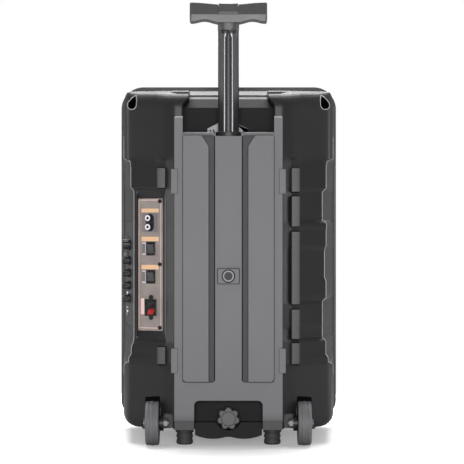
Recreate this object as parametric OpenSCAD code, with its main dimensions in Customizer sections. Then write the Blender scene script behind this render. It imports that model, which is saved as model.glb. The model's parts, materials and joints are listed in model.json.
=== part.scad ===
// Portable trolley loudspeaker: moulded cabinet, telescopic T-handle, two wheels, stand socket.
// Origin: floor level under the middle of the cabinet. +Z is up, the grille faces -Y,
// the trolley handle is at +Y and the controls are on the +X side.

/* [Cabinet] */
// Width over the front rim
body_w = 360; // [350:5:370]
// Top of the front rim above the floor
rim_top = 575; // [573:1:581]
// Underside of the front rim above the floor
rim_bottom = 24; // [22:1:26]
// Depth of the front rim and baffle moulding
rim_d = 50; // [46:1:54]
// Front face of the cabinet
front_y = -150; // [-154:1:-148]

/* [Handle] */
// Height of the T-bar underside as drawn, part of the way out
bar_z = 655; // [648:1:662]
// Length of the T-bar
bar_len = 120; // [100:1:128]
// Width of the telescopic pole
pole_w = 32.4; // [30:0.2:34]
// Depth of the telescopic pole
pole_d = 25; // [24:0.2:26]

/* [Wheels and feet] */
// Wheel diameter
wheel_dia = 69; // [66:1:70]
// Wheel width
wheel_w = 21; // [18:1:21.6]
// Distance of each wheel's middle from the centre line
wheel_x = 118; // [117.6:0.1:118.4]
// Diameter of the round rear feet
foot_dia = 26; // [22:1:28]

/* [Stand socket] */
// Bore for a loudspeaker stand pole
socket_bore = 36; // [35:0.1:38]
// Diameter of the clamp knob
clamp_dia = 36; // [30:1:38]

/* [Controls] */
// Outward turn of the connector plate
plate_tilt = 25; // [22:0.5:28]
// Height of the connector plate
plate_h = 207; // [200:1:210]
// Diameter of the small control knobs
knob_dia = 15; // [12:0.5:16]
// Diameter of the top control knob
top_knob_dia = 20; // [16:0.5:21]

/* [Hidden] */
$fn = 64;
e = 0.01;
// Colours
black = [0.10, 0.10, 0.105];
dark = [0.17, 0.17, 0.18];
grey = [0.34, 0.34, 0.35];
steel = [0.72, 0.72, 0.74];
sand = [0.58, 0.53, 0.47];
// Cabinet levels
join_y = front_y + rim_d;
shell_top = rim_top - 8;
shell_bottom = 25;
shell_w = body_w - 8;
back_y = 126;
// Height of the sloping roof where its rear edge starts to round over
roof_low = 553;
face_y = 138;
wall = 4;
// Rear relief, half plan: rim corner, outer corner, panel, ledge, wall
corner_y = 88;
ledge_in = 98;
ledge_out = 111;
slope_in = 84;
// Heights where the smooth upper and lower blocks end
block_low = 126;
block_high = 445;
// Levels where the moulding's base and top meet its middle
base_joint = 90;
top_joint = 478;
// Relief bands of each side: bottom, top, outer corner, lift of the slanted panel
plain_bands = [
    [126, 138, 157, 3], [138, 164, 153, 3], [184, 222, 147.5, 3], [226, 258, 153.5, 0],
    [258, 307, 151, 0], [307, 338, 153.5, 1.6], [338, 348, 154.5, 2.4], [398, 445, 153.5, 3]];
control_bands = [
    [126, 138, 157, 3], [138, 155, 153, 3], [155, 162, 150, 3], [400, 445, 153.5, 3]];
// Light ledges beside the trolley panel: bottom and top
plain_ledges = [[126, 160], [165, 212], [219, 333], [340, 388], [394, 432]];
control_ledges = [[126, 154], [400, 432]];
// Handle pocket
pocket_x = 70.7;
pocket_y = 76;
pocket_z = 483;
// Trolley panel
panel_x = 83.4;
bay_x = 71;
bay_low = 99.8;
bay_high = 481;
strip_x = 20.5;
cover_in = 30.4;
cover_y = 131;
leg_x = 53;
recess_low = 36.5;
recess_high = 72;
recess_y = 100;
// Pole and sleeve
pole_y = 117;
pole_low = bar_z - 410;
sleeve_low = 90;
sleeve_high = 480;
sleeve_gap = 0.4;
sleeve_wall = 2.2;
neck_h = 14;
neck_pin_z = 4;
neck_z = bar_z - neck_h;
collar_h = 7;
pin_z = pole_low + 10;
// Wheels
wheel_r = wheel_dia / 2;
axle_z = wheel_r + 0.5;
axle_y = 150 - wheel_r;
axle_dia = 8;
well_r = wheel_r + 7;
well_in = 106.5;
well_out = 130;
lug_in = 101;
// Feet
foot_x = 68.6;
foot_y = 94;
// Stand socket and clamp
socket_y = 66;
socket_od = socket_bore + 8;
socket_low = 10;
socket_high = 100;
keel_low = 13;
clamp_z = 44;
stud_dia = 8;
// Loudspeaker drivers
woofer_z = 205;
horn_z = 475;
port_x = 135;
port_z = 392;
baffle_y = -128;
baffle_t = 14;
// Top corner screws
screw_x = 151.7;
screw_z = 531.7;
screw_y = -62;
// Connector plate: middle of its face
plate_x = 121.7;
plate_y = 96.8;
plate_z = 281;
plate_w = 44;
plate_t = 2;
// Side plate: middle of its face, on the slanted side wall
side_x = 162.26;
side_y = -5;
side_z = 265;
side_turn = 8.23;
side_w = 130;
side_h = 168;
side_t = 2;
knob_y = 20;
knob_heights = [47, 21, 1, -19, -40];
knob_l = 11.7;
shaft_dia = 6;
jack_places = [[-20, -62], [-20, -38]];
media_y = -35;
media_z = 38;
button_step = 11;
// Connector plate features, from the middle of the plate
plate_screws = [[-16.5, 99], [-16.5, 0.5], [-16.5, -98.5]];
jack_x = 0.8;
jack_zs = [72.8, 58.8];
rocker_zs = [25, -19];
terminal_z = -67;

// ---------- shared shapes ----------

// Rectangle from the left foot of its frame with separate lower and upper corner radii
module rounded(w, low, high, r_low, r_high) {
    union() {
        translate([-w / 2, low + r_low])
            square([w, high - low - r_low - r_high]);
        translate([-w / 2 + r_low, low])
            square([w - 2 * r_low, r_low + e]);
        translate([-w / 2 + r_high, high - r_high - e])
            square([w - 2 * r_high, r_high + e]);
        for (s = [-1, 1]) {
            translate([s * (w / 2 - r_low), low + r_low])
                circle(r_low);
            translate([s * (w / 2 - r_high), high - r_high])
                circle(r_high);
        }
    }
}

// Extrudes a drawing made in x and z from y0 to y1
module along_y(y0, y1) {
    translate([0, y1, 0])
        rotate([90, 0, 0])
            linear_extrude(y1 - y0)
                children();
}

// Extrudes a drawing made in y and z from x0 to x1
module along_x(x0, x1) {
    translate([x0, 0, 0])
        rotate([90, 0, 90])
            linear_extrude(x1 - x0)
                children();
}

// Cylinder along y
module rod_y(x, z, y0, y1, r) {
    translate([x, y1, z])
        rotate([90, 0, 0])
            cylinder(h = y1 - y0, r = r);
}

// Cylinder along x
module rod_x(y, z, x0, x1, r) {
    translate([x0, y, z])
        rotate([0, 90, 0])
            cylinder(h = x1 - x0, r = r);
}

// Oval with straight front and back, round ends
module oval(w, d) {
    union() {
        square([w - d, d], center = true);
        for (s = [-1, 1])
            translate([s * (w - d) / 2, 0])
                circle(d / 2);
    }
}

// Box by its lowest and highest corners
module block(low, high) {
    translate(low)
        cube(high - low);
}

// Frame of the connector plate: x across it, y out of it
module on_plate() {
    translate([plate_x, plate_y, plate_z])
        rotate([0, 0, -plate_tilt])
            children();
}

// Frame of the side plate: x out of it, y along it
module on_side() {
    translate([side_x, side_y, side_z])
        rotate([0, 0, side_turn])
            children();
}

// Countersunk-style pan screw along -y from its head's underside
module screw_y(x, y, z, head_r, head_h, shank_r, shank_l) {
    difference() {
        union() {
            rod_y(x, z, y, y + head_h, head_r);
            rod_y(x, z, y - shank_l, y + e, shank_r);
        }
        for (a = [0, 90])
            translate([x, y + head_h, z])
                rotate([0, a, 0])
                    cube([head_r * 1.2, head_h, head_r * 0.3], center = true);
    }
}

// ---------- cabinet ----------

// Half plan of a relief band
function band_half(corner, lift) = [
    [shell_w / 2, join_y], [corner, corner_y + lift], [ledge_out, 105 + lift],
    [ledge_in, 109], [slope_in, back_y]];

// Half plan of the smooth upper and lower blocks
block_half = [[shell_w / 2, join_y], [166, 66], [160, 82], [100, 119], [slope_in, back_y]];

// One side's relief, drawn on +x
module relief_side(bands, ledges, corner) {
    linear_extrude(shell_top)
        polygon(concat([[-e, join_y]], band_half(corner, 0), [[-e, back_y]]));
    for (b = bands)
        translate([0, 0, b[0]])
            linear_extrude(b[1] - b[0])
                polygon(concat([[-e, join_y]], band_half(b[2], b[3]), [[-e, back_y]]));
    for (z = [[0, block_low], [block_high, shell_top]])
        translate([0, 0, z[0]])
            linear_extrude(z[1] - z[0])
                polygon(concat([[-e, join_y]], block_half, [[-e, back_y]]));
    for (l = ledges)
        block([ledge_in, 100, l[0]], [ledge_out, 116, l[1]]);
}

// Outer form of the rear moulding before anything is cut from it
module shell_form() {
    intersection() {
        union() {
            relief_side(control_bands, control_ledges, 148.8);
            mirror([1, 0, 0])
                relief_side(plain_bands, plain_ledges, 147.5);
        }
        along_y(join_y, back_y + 1)
            rounded(shell_w, shell_bottom, shell_top, 22, 33);
        // Rounded upper and lower rear edges
        along_x(-shell_w, shell_w)
            union() {
                polygon([
                    [join_y, shell_bottom], [back_y - 16, shell_bottom], [back_y - 16, shell_bottom + 16],
                    [back_y, shell_bottom + 16], [back_y, roof_low - 30], [back_y - 30, roof_low - 30],
                    [back_y - 30, roof_low], [join_y, shell_top]]);
                translate([back_y - 30, roof_low - 30])
                    circle(30);
                translate([back_y - 16, shell_bottom + 16])
                    circle(16);
            }
    }
}

// Hollow inside of the rear moulding, with the screw posts left standing
module shell_cavity() {
    difference() {
        translate([0, 0, shell_bottom + wall])
            linear_extrude(shell_top - wall - shell_bottom - wall)
                polygon([
                    [-171, join_y - 1], [171, join_y - 1], [141, 80], [95, 90], [-95, 90], [-141, 80]]);
        // Rounded roof corners
        for (s = [-1, 1])
            difference() {
                block([s > 0 ? 140 : -180, -200, 525], [s > 0 ? 180 : -140, 200, 570]);
                rod_y(s * 140, 525, -200, 200, 33);
            }
        // Sloping roof
        along_x(-200, 200)
            polygon([
                [join_y - 1, shell_top - wall], [back_y - 30, roof_low - wall],
                [back_y, roof_low - wall], [back_y, 600], [join_y - 1, 600]]);
        // Wall of the handle pocket and the bevel above it
        block([-pocket_x - wall, pocket_y - 22, pocket_z - wall], [pocket_x + wall, 200, 600]);
        // Roof under the rounded rear edge
        block([-200, 66, roof_low - 17], [200, 200, 600]);
        // Solid corners that carry the wheels
        for (s = [-1, 1])
            block([s > 0 ? 92 : -200, 66, 0], [s > 0 ? 200 : -92, 200, axle_z + well_r + 6]);
        // Posts of the top corner screws
        for (s = [-1, 1])
            rod_y(s * screw_x, screw_z, -200, 200, 12);
    }
}

// Stiff underside below the clamp recess, with a two-lobed lower edge
module keel() {
    intersection() {
        block([-52, 30, keel_low - 3], [52, 120, recess_low]);
        along_y(30, 120)
            union() {
                for (s = [-1, 1])
                    translate([s * 24, keel_low + 68])
                        circle(70);
                translate([-40, shell_bottom - 2])
                    square([80, 20]);
            }
    }
}

// Lugs that carry the axle bolts on the inner side of each wheel
module axle_lugs() {
    for (s = [-1, 1])
        mirror([s < 0 ? 1 : 0, 0, 0]) {
            rod_x(axle_y, axle_z, lug_in, well_in, 12);
            block([lug_in, 96, axle_z - 10], [well_in, axle_y, axle_z + 24]);
        }
}

// Wheel well seen from the side, open downwards and to the rear
module wheel_well() {
    for (s = [-1, 1])
        mirror([s < 0 ? 1 : 0, 0, 0]) {
            rod_x(axle_y, axle_z, well_in, well_out, well_r);
            block([well_in, axle_y - well_r, -1], [well_out, 200, axle_z]);
            // Clear space around the nut on the inner side
            block([86, 98, -1], [lug_in, 200, 50]);
            rod_x(axle_y, axle_z, 90, well_out, axle_dia / 2 + 0.1);
        }
}

// Teardrop pockets and holes of the top corner screws
module corner_screw_pockets() {
    for (s = [-1, 1]) {
        rod_y(s * screw_x, screw_z, screw_y, 200, 7);
        along_y(screw_y, 200)
            translate([s * screw_x, screw_z])
                rotate(s * 25)
                    polygon([[-6.2, 3.2], [6.2, 3.2], [0, 15]]);
        rod_y(s * screw_x, screw_z, join_y - 1, screw_y + e, 2.2);
    }
}

// Handle pocket with its bevelled upper corners and sloping front wall
module handle_pocket() {
    along_y(pocket_y, 200)
        polygon([
            [-pocket_x, pocket_z], [pocket_x, pocket_z], [pocket_x, 530], [61.7, 540],
            [61.7, 600], [-61.7, 600], [-61.7, 540], [-pocket_x, 530]]);
    along_x(-61.7, 61.7)
        polygon([[pocket_y - e, 528], [pocket_y - 16, 543], [pocket_y - 16, 600], [pocket_y + 1, 600]]);
}

// The whole rear moulding
module cabinet_moulding() {
    difference() {
        union() {
            difference() {
                shell_form();
                shell_cavity();
            }
            keel();
            axle_lugs();
        }
        handle_pocket();
        corner_screw_pockets();
        wheel_well();
        // Groove across the roof in front of the pocket
        block([-64, 44, roof_low - 6.5], [64, pocket_y, roof_low - 3]);
        // Channel for the pole sleeve
        block([-pole_w / 2 - 6, 94, 84], [pole_w / 2 + 6, 200, pocket_z + e]);
        // Clamp recess and the lower edge in front of it
        along_y(recess_y, 200)
            rounded(2 * leg_x, recess_low, recess_high, e, 8);
        block([-leg_x, 120, -1], [leg_x, 200, recess_low + 1]);
        rod_y(0, clamp_z, 85, 121, stud_dia / 2 + 0.6);
        rod_y(0, clamp_z, recess_y, 121, clamp_dia / 2 + 2);
        // Stand socket
        translate([0, socket_y, -1])
            cylinder(h = 200, r = socket_od / 2 + 0.15);
        rod_y(0, clamp_z, socket_y, 90, 9.3);
        // Connector plate: sloped recess, seat and opening behind it
        on_plate() {
            along_x(-plate_w / 2 - 0.5, plate_w / 2 + 0.5)
                polygon([
                    [-plate_t, -plate_h / 2 - 0.5], [0, -plate_h / 2 - 0.5],
                    [34, -plate_h / 2 - 34], [34, plate_h / 2 + 34],
                    [0, plate_h / 2 + 0.5], [-plate_t, plate_h / 2 + 0.5]]);
            block([-13, -30, -94], [17, 0, 94]);
            for (p = plate_screws)
                rod_y(p[0], p[1], -14, 0, 1.6);
        }
        // Side plate: seat and opening behind it
        on_side() {
            block([-side_t - 0.2, -side_w / 2 - 0.5, -side_h / 2 - 0.5], [20, side_w / 2 + 0.5, side_h / 2 + 0.5]);
            block([-20, -side_w / 2 + 6, -side_h / 2 + 6], [0, side_w / 2 - 6, side_h / 2 - 6]);
        }
    }
}

// Length of the moulding between two levels: it is made as a base, a middle and a top
module moulding_length(low, high) {
    color(dark)
        intersection() {
            cabinet_moulding();
            block([-200, -200, low], [200, 200, high]);
        }
}

module cabinet_base() {
    moulding_length(0, base_joint);
}

module rear_cabinet() {
    moulding_length(base_joint, top_joint);
}

module cabinet_top() {
    moulding_length(top_joint, rim_top);
}

module front_baffle() {
    color(black)
        difference() {
            along_y(front_y, join_y)
                rounded(body_w, rim_bottom, rim_top, 25, 37);
            // Seat of the grille
            along_y(front_y - 1, baffle_y)
                rounded(body_w - 28, rim_bottom + 14, rim_top - 14, 14, 24);
            // Space behind the baffle, open into the rear moulding
            along_y(baffle_y + baffle_t, join_y + 1)
                rounded(body_w - 28, rim_bottom + 14, rim_top - 18, 14, 26);
            rod_y(0, woofer_z, -200, 0, 141);
            along_y(-200, 0)
                translate([0, horn_z])
                    square([196, 86], center = true);
            for (s = [-1, 1]) {
                rod_y(s * port_x, port_z, -200, 0, 25);
                rod_y(s * screw_x, screw_z, -118, 0, 1.9);
            }
        }
}

// Folded steel grille in its seat
module front_grille() {
    grille_w = body_w - 29;
    color(dark)
        difference() {
            along_y(-148, baffle_y)
                rounded(grille_w, rim_bottom + 14.5, rim_top - 14.5, 13.5, 23.5);
            along_y(-146.5, baffle_y + 1)
                rounded(grille_w - 3, rim_bottom + 16, rim_top - 16, 12, 22);
        }
}

// Socket screw in the middle of the trolley panel
module panel_screw() {
    difference() {
        union() {
            rod_y(0, 264, face_y - 3, face_y - 0.4, 6.2);
            rod_y(0, 264, face_y - 5, face_y - 3 + e, 2.6);
        }
        rod_y(0, 264, face_y - 1.4, face_y, 4);
        along_y(face_y - 2.4, face_y)
            translate([0, 264])
                circle(2, $fn = 6);
    }
}

// Two screws in the top corners, one in the trolley panel
module cabinet_screws() {
    color(black) {
        for (s = [-1, 1])
            screw_y(s * screw_x, screw_y, screw_z, 5, 4, 1.8, 54);
        panel_screw();
    }
}

// ---------- trolley panel ----------

// Outline of the panel's side view: a flat plate whose legs curve under at the bottom
module panel_side() {
    polygon(concat(
        [[back_y, 511], [back_y, shell_bottom]],
        [for (a = [0:15:90]) [back_y + 12 * sin(a), shell_bottom + 27 - 27 * cos(a)]],
        [[face_y, 508], [face_y - 3, 511]]));
}

module trolley_panel() {
    color(grey)
        difference() {
            intersection() {
                along_x(-panel_x, panel_x)
                    panel_side();
                along_y(100, 200)
                    rounded(2 * panel_x, shell_bottom, 512, e, 4);
            }
            block([-pocket_x, 0, pocket_z], [pocket_x, 200, 600]);
            // Two bays for the cover panels, either side of the middle strip
            for (s = [-1, 1])
                along_y(cover_y, 200)
                    translate([s * (bay_x + strip_x) / 2, 0])
                        rounded(bay_x - strip_x, bay_low, bay_high, 5, 3);
            along_y(0, 200)
                rounded(2 * leg_x, 0, recess_high, e, 8);
            // Groove behind the strip for the sleeve
            block([-pole_w / 2 - 6, 0, 84], [pole_w / 2 + 6, pole_y + pole_d / 2 + 4.1, pocket_z + 1]);
            // Seat of the collar
            block([-19.9, 0, sleeve_high], [19.9, 200, pocket_z + 1]);
            // Stepped seat of the middle screw and the fine square outline around it
            rod_y(0, 264, face_y - 3, 200, 10.5);
            rod_y(0, 264, face_y - 5, 200, 2.7);
            difference() {
                block([-18, face_y - 0.7, 249], [18, 200, 279]);
                block([-16.8, 0, 250.2], [16.8, 200, 277.8]);
            }
            // Notches under the four clips
            for (x = [-panel_x, panel_x], z = [133.5, 410])
                translate([x, face_y, z])
                    cube([10.4, 2.4, 38.4], center = true);
        }
}

// Raised cover panel, drawn on +x, inner upper corner cut off
module cover_panel() {
    along_y(cover_y, face_y + 5)
        polygon([
            [cover_in, 101], [66.2, 101], [70.2, 105], [70.2, 480.4], [41, 480.4], [cover_in, 464]]);
}

module left_cover_panel() {
    color(grey)
        cover_panel();
}

module right_cover_panel() {
    color(grey)
        mirror([1, 0, 0])
            cover_panel();
}

module panel_clips() {
    color(grey)
        for (s = [-1, 1], z = [133.5, 410])
            mirror([s < 0 ? 1 : 0, 0, 0]) {
                block([panel_x - 5, face_y - 1.2, z - 19], [panel_x + 5, face_y + 2.5, z + 19]);
                block([panel_x + 0.6, back_y + 0.5, z - 19], [panel_x + 5, face_y, z + 19]);
            }
}

// ---------- pole and T-handle ----------

module pole_sleeve() {
    color(steel)
        translate([0, pole_y, 0])
            difference() {
                translate([0, 0, sleeve_low])
                    linear_extrude(sleeve_high - sleeve_low)
                        oval(pole_w + 2 * (sleeve_gap + sleeve_wall), pole_d + 2 * (sleeve_gap + sleeve_wall));
                translate([0, 0, sleeve_low + 4])
                    linear_extrude(sleeve_high)
                        oval(pole_w + 2 * sleeve_gap, pole_d + 2 * sleeve_gap);
                // Slot that the lock pin's tip runs in
                block([-3.2, 0, 96], [3.2, 40, pin_z + 186]);
            }
}

module pole_collar() {
    color(black)
        difference() {
            translate([0, pole_y, sleeve_high])
                linear_extrude(collar_h)
                    oval(39.4, 37);
            translate([0, pole_y, 0])
                linear_extrude(600)
                    oval(pole_w + 2 * sleeve_gap, pole_d + 2 * sleeve_gap);
        }
}

// Bright stop plate that stands on the pocket floor in front of the pole
module pole_stop_plate() {
    color(steel)
        along_y(94, 95.6)
            difference() {
                polygon([
                    [-31, pocket_z], [-31, 493], [-17, 500], [-10, 503], [10, 503], [17, 502],
                    [33, 494], [33, pocket_z]]);
                for (x = [-28, -23, 21, 26])
                    translate([x, pocket_z + 4])
                        rotate(x < 0 ? 25 : -25)
                            square([1.6, 6]);
            }
}

// Flutes down the front and back of the pole
module pole_flutes() {
    for (s = [-1, 1]) {
        translate([0, s * (pole_d / 2 + 8.4)])
            circle(10);
        for (x = [-1, 1])
            translate([x * 15.9, s * 14.6])
                circle(8);
    }
}

module inner_pole() {
    color(dark)
        difference() {
            union() {
                translate([0, pole_y, pole_low])
                    linear_extrude(neck_z - pole_low)
                        difference() {
                            oval(pole_w, pole_d);
                            pole_flutes();
                        }
                // Spigot inside the T-handle's neck
                translate([0, pole_y, neck_z - e])
                    linear_extrude(24)
                        oval(26, 18);
            }
            // Hollow above the solid end that holds the lock pin
            translate([0, pole_y, pole_low + 20])
                linear_extrude(500)
                    oval(22, 13);
            rod_y(0, pin_z, pole_y - 9, 200, 2.55);
            translate([0, pole_y, pin_z + 4.5])
                cylinder(h = 10, r = 3);
            rod_y(-6.7, neck_z + neck_pin_z, 0, 200, 2);
        }
}

// Front view of the T-bar: dips at the middle of its top, hollow under each grip
function bar_top(x) = bar_z + 32.6 - 3.5 * pow(cos(90 * min(1, abs(x) / 58)), 2);
function bar_low(x) = bar_z + 1 + 4 * pow(sin(180 * min(1, max(0, (abs(x) - 14) / 42))), 2);
grip = bar_len / 2;
bar_steps = [-1:0.05:1];

module bar_front() {
    polygon(concat(
        [for (t = bar_steps) [t * grip, bar_low(t * grip) + (abs(t) > 0.99 ? 2 : 0)]],
        [for (t = bar_steps) [-t * grip, bar_top(t * grip) - (abs(t) > 0.99 ? 3 : 0)]]));
}

module t_handle() {
    difference() {
        union() {
            intersection() {
                along_y(pole_y - 20, pole_y + 20)
                    bar_front();
                along_x(-grip, grip)
                    translate([pole_y, bar_z])
                        polygon([[-10, -1], [-15, 8], [-16, 16], [-11, 36], [11, 36], [16, 16], [15, 8], [10, -1]]);
            }
            translate([0, pole_y, neck_z])
                linear_extrude(neck_h + 6)
                    oval(pole_w + 1, pole_d + 1);
        }
        // Socket for the pole's spigot, rod hole and button slot
        translate([0, pole_y, neck_z - 1])
            linear_extrude(25.2)
                oval(26.2, 18.2);
        translate([0, pole_y, neck_z])
            cylinder(h = 60, r = 3.2);
        block([-15.3, 0, bar_z + 17], [15.3, 200, bar_z + 50]);
        block([-12, pole_y - 9, bar_z + 12], [12, pole_y + 9, bar_z + 50]);
        rod_y(-6.7, neck_z + neck_pin_z, 0, 200, 2);
        for (x = [-38, 38]) {
            rod_y(x, bar_z + 16, 0, pole_y - 6, 3.3);
            rod_y(x, bar_z + 16, 0, pole_y + 9, 1.6);
        }
    }
}

module handle_front_shell() {
    color(black)
        intersection() {
            t_handle();
            block([-100, pole_y - 50, 0], [100, pole_y, 800]);
        }
}

module handle_rear_shell() {
    color(black)
        intersection() {
            t_handle();
            block([-100, pole_y, 0], [100, pole_y + 50, 800]);
        }
}

module handle_screws() {
    color(steel)
        for (x = [-38, 38])
            mirror([0, 1, 0])
                screw_y(x, 6 - pole_y, bar_z + 16, 3, 2.4, 1.5, 14);
}

module neck_pin() {
    color(black)
        rod_y(-6.7, neck_z + neck_pin_z, pole_y - 12, pole_y + 13.4, 1.95);
}

// Push button across the top of the T-bar's middle
module handle_button() {
    color(black)
        union() {
            intersection() {
                block([-14.9, pole_y - 20, bar_z + 22], [14.9, pole_y + 20, bar_z + 32.6]);
                along_x(-grip, grip)
                    translate([pole_y, bar_z])
                        polygon([[-15.6, 22], [-11.4, 32.6], [11.4, 32.6], [15.6, 22]]);
            }
            block([-11.6, pole_y - 8.6, bar_z + 17.5], [11.6, pole_y + 8.6, bar_z + 22.5]);
        }
}

module release_rod() {
    color(steel)
        translate([0, pole_y, pole_low + 21])
            cylinder(h = bar_z + 17.5 - pole_low - 21, r = 2.5);
}

module lock_pin() {
    color(steel)
        rod_y(0, pin_z, pole_y - 4, pole_y + pole_d / 2 + 2, 2.5);
}

// ---------- connector plate ----------

module connector_plate() {
    color(sand)
        on_plate()
            difference() {
                block([-plate_w / 2, -plate_t, -plate_h / 2], [plate_w / 2, 0, plate_h / 2]);
                for (p = plate_screws)
                    rod_y(p[0], p[1], -10, 10, 1.7);
                for (z = jack_zs)
                    rod_y(jack_x, z, -10, 10, 4.5);
                for (z = rocker_zs)
                    block([-7.3, -10, z - 9.7], [6.7, 10, z + 9.7]);
                block([-7, -10, terminal_z - 10], [5, 10, terminal_z + 10]);
            }
}

module connector_screws() {
    color(black)
        on_plate()
            for (p = plate_screws)
                screw_y(p[0], 0, p[1], 3, 2, 1.5, 10);
}

// Phono socket pair on its own small plate
module line_jacks() {
    color(steel)
        on_plate()
            union() {
                difference() {
                    block([-11.5, 0, 51], [14.5, 1.2, 81]);
                    for (z = jack_zs)
                        rod_y(jack_x, z, -1, 3, 4);
                }
                for (z = jack_zs)
                    difference() {
                        rod_y(jack_x, z, -14, 9, 4.2);
                        rod_y(jack_x, z, -4, 10, 3.4);
                    }
                for (z = jack_zs)
                    difference() {
                        rod_y(jack_x, z, -5, 5, 2.2);
                        rod_y(jack_x, z, -2, 6, 1.5);
                    }
            }
}

module switch_frames() {
    color(black)
        on_plate()
            for (z = rocker_zs)
                difference() {
                    union() {
                        block([-8.3, 0, z - 10.8], [7.7, 1.6, z + 10.8]);
                        block([-7.1, -16, z - 9.5], [6.5, 0.1, z + 9.5]);
                    }
                    block([-6.1, -9, z - 8.5], [5.5, 5, z + 8.5]);
                }
}

// Rocker, tipped so that its upper end stands out
module rocker(z) {
    color(black)
        on_plate()
            along_x(-5.7, 5.1)
                translate([0, z])
                    polygon([[-6, -4], [-6, 4], [-2, 6.6], [3.8, 6.9], [3.6, 6.2], [1.6, 0], [0.9, -6.6], [-2, -6.6]]);
}

module power_rocker() {
    rocker(rocker_zs[0]);
}

module lower_rocker() {
    rocker(rocker_zs[1]);
}

module terminal_body() {
    color(black)
        on_plate()
            difference() {
                union() {
                    block([-10.4, 0, terminal_z - 13], [8.2, 5, terminal_z + 13]);
                    block([-6.8, -12, terminal_z - 9.8], [4.8, 0.1, terminal_z + 9.8]);
                    for (z = [-16, 16])
                        rod_y(-1, terminal_z + z, 0, 1.6, 3.6);
                    block([-4, 0, terminal_z - 16], [2, 1.6, terminal_z + 16]);
                }
                // Lever slots and wire holes
                for (s = [-1, 1]) {
                    block([-9.4, 1, terminal_z + s * 6.2 - 4.8], [0.6, 20, terminal_z + s * 6.2 + 4.8]);
                    rod_y(4.4, terminal_z + s * 6, -4, 20, 1.8);
                }
            }
}

// Spring lever: a tab that is pressed towards the plate to open the clamp
module lever(s) {
    on_plate()
        union() {
            along_x(-8.8, 0)
                translate([0, terminal_z + s * 6.2])
                    scale([1, s])
                        polygon([[2.2, -4.2], [5.6, -4.2], [11, 1.6], [11, 4], [9.4, 4], [4.6, -1], [2.2, -1]]);
            rod_x(3.8, terminal_z + s * 3.4, -9.2, 0.4, 1.1);
        }
}

module black_lever() {
    color(black)
        lever(1);
}

module red_lever() {
    color([0.72, 0.12, 0.12])
        lever(-1);
}

// ---------- side controls ----------

module side_plate() {
    color(dark)
        on_side()
            difference() {
                block([-side_t - 0.2, -side_w / 2, -side_h / 2], [-0.2, side_w / 2, side_h / 2]);
                for (z = knob_heights)
                    rod_x(knob_y, z, -10, 10, shaft_dia / 2 + 0.6);
                for (p = jack_places)
                    rod_x(p[0], p[1], -10, 10, 6);
                block([-10, media_y - 24, media_z - 20], [10, media_y + 24, media_z + 20]);
            }
}

module potentiometers() {
    color(steel)
        on_side()
            for (z = knob_heights)
                difference() {
                    union() {
                        rod_x(knob_y, z, -13, -side_t - 0.2, 4.4);
                        block([-13, knob_y - 8.4, z - 8.4], [-6, knob_y + 8.4, z + 8.4]);
                    }
                    rod_x(knob_y, z, -10, 0, shaft_dia / 2 + 0.05);
                }
}

// Control knob with its shaft, a skirt and a raised pointer
module knob(z, dia) {
    color(black)
        on_side()
            union() {
                rod_x(knob_y, z, -9.6, 1, shaft_dia / 2);
                rod_x(knob_y, z, 0.4, 3, dia / 2);
                rod_x(knob_y, z, 2.9, knob_l, dia / 2 - 1.4);
                block([2.9, knob_y - 0.8, z], [knob_l + 0.5, knob_y + 0.8, z + dia / 2 - 0.8]);
            }
}

module knob_1() {
    knob(knob_heights[0], top_knob_dia);
}

module knob_2() {
    knob(knob_heights[1], knob_dia);
}

module knob_3() {
    knob(knob_heights[2], knob_dia);
}

module knob_4() {
    knob(knob_heights[3], knob_dia);
}

module knob_5() {
    knob(knob_heights[4], knob_dia);
}

module mic_jacks() {
    color(steel)
        on_side()
            for (p = jack_places)
                difference() {
                    union() {
                        rod_x(p[0], p[1], -0.2, 1.6, 8);
                        rod_x(p[0], p[1], -30, 0, 5.8);
                    }
                    rod_x(p[0], p[1], -26, 3, 3.3);
                }
}

// Player unit with its display window, card slot and button holes
module media_module() {
    color(black)
        on_side()
            translate([0, media_y, media_z])
                difference() {
                    union() {
                        block([-0.2, -27, -23], [1.8, 27, 23]);
                        block([-14, -23.6, -19.6], [0, 23.6, 19.6]);
                    }
                    block([1, -20, 0], [2, 20, 16]);
                    block([-8, 6, -16], [2, 20, -10]);
                    for (i = [0:2])
                        rod_x(-18 + i * button_step, -8, -6, 2, 3.6);
                }
}

module media_button(i) {
    color(grey)
        on_side()
            translate([0, media_y, media_z])
                union() {
                    rod_x(-18 + i * button_step, -8, -3.5, 2.8, 3.2);
                }
}

module media_button_1() {
    media_button(0);
}

module media_button_2() {
    media_button(1);
}

module media_button_3() {
    media_button(2);
}

// ---------- wheels and feet ----------

// Wheel parts are turned about x, drawn with the radius first
module turned(x) {
    translate([x, axle_y, axle_z])
        rotate([0, 90, 0])
            rotate_extrude($fn = 96)
                children();
}

module tyre(x) {
    color(black)
        turned(x)
            polygon([
                [24.2, -8], [29, -wheel_w / 2], [wheel_r - 2.4, -wheel_w / 2], [wheel_r - 0.6, -7],
                [wheel_r - 0.6, -1.6], [wheel_r, -1.2], [wheel_r, 1.2], [wheel_r - 0.6, 1.6],
                [wheel_r - 0.6, 7], [wheel_r - 2.4, wheel_w / 2], [29, wheel_w / 2], [24.2, 8]]);
}

module hub(x) {
    color(dark)
        turned(x)
            polygon([
                [axle_dia / 2 + 0.05, -10], [9, -10], [9, -4], [20, -4], [20, -8], [24.2, -8],
                [24.2, 8], [20, 8], [20, 4], [9, 4], [9, 10], [axle_dia / 2 + 0.05, 10]]);
}

module left_tyre() {
    tyre(wheel_x);
}

module left_hub() {
    hub(wheel_x);
}

module right_tyre() {
    tyre(-wheel_x);
}

module right_hub() {
    hub(-wheel_x);
}

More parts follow.
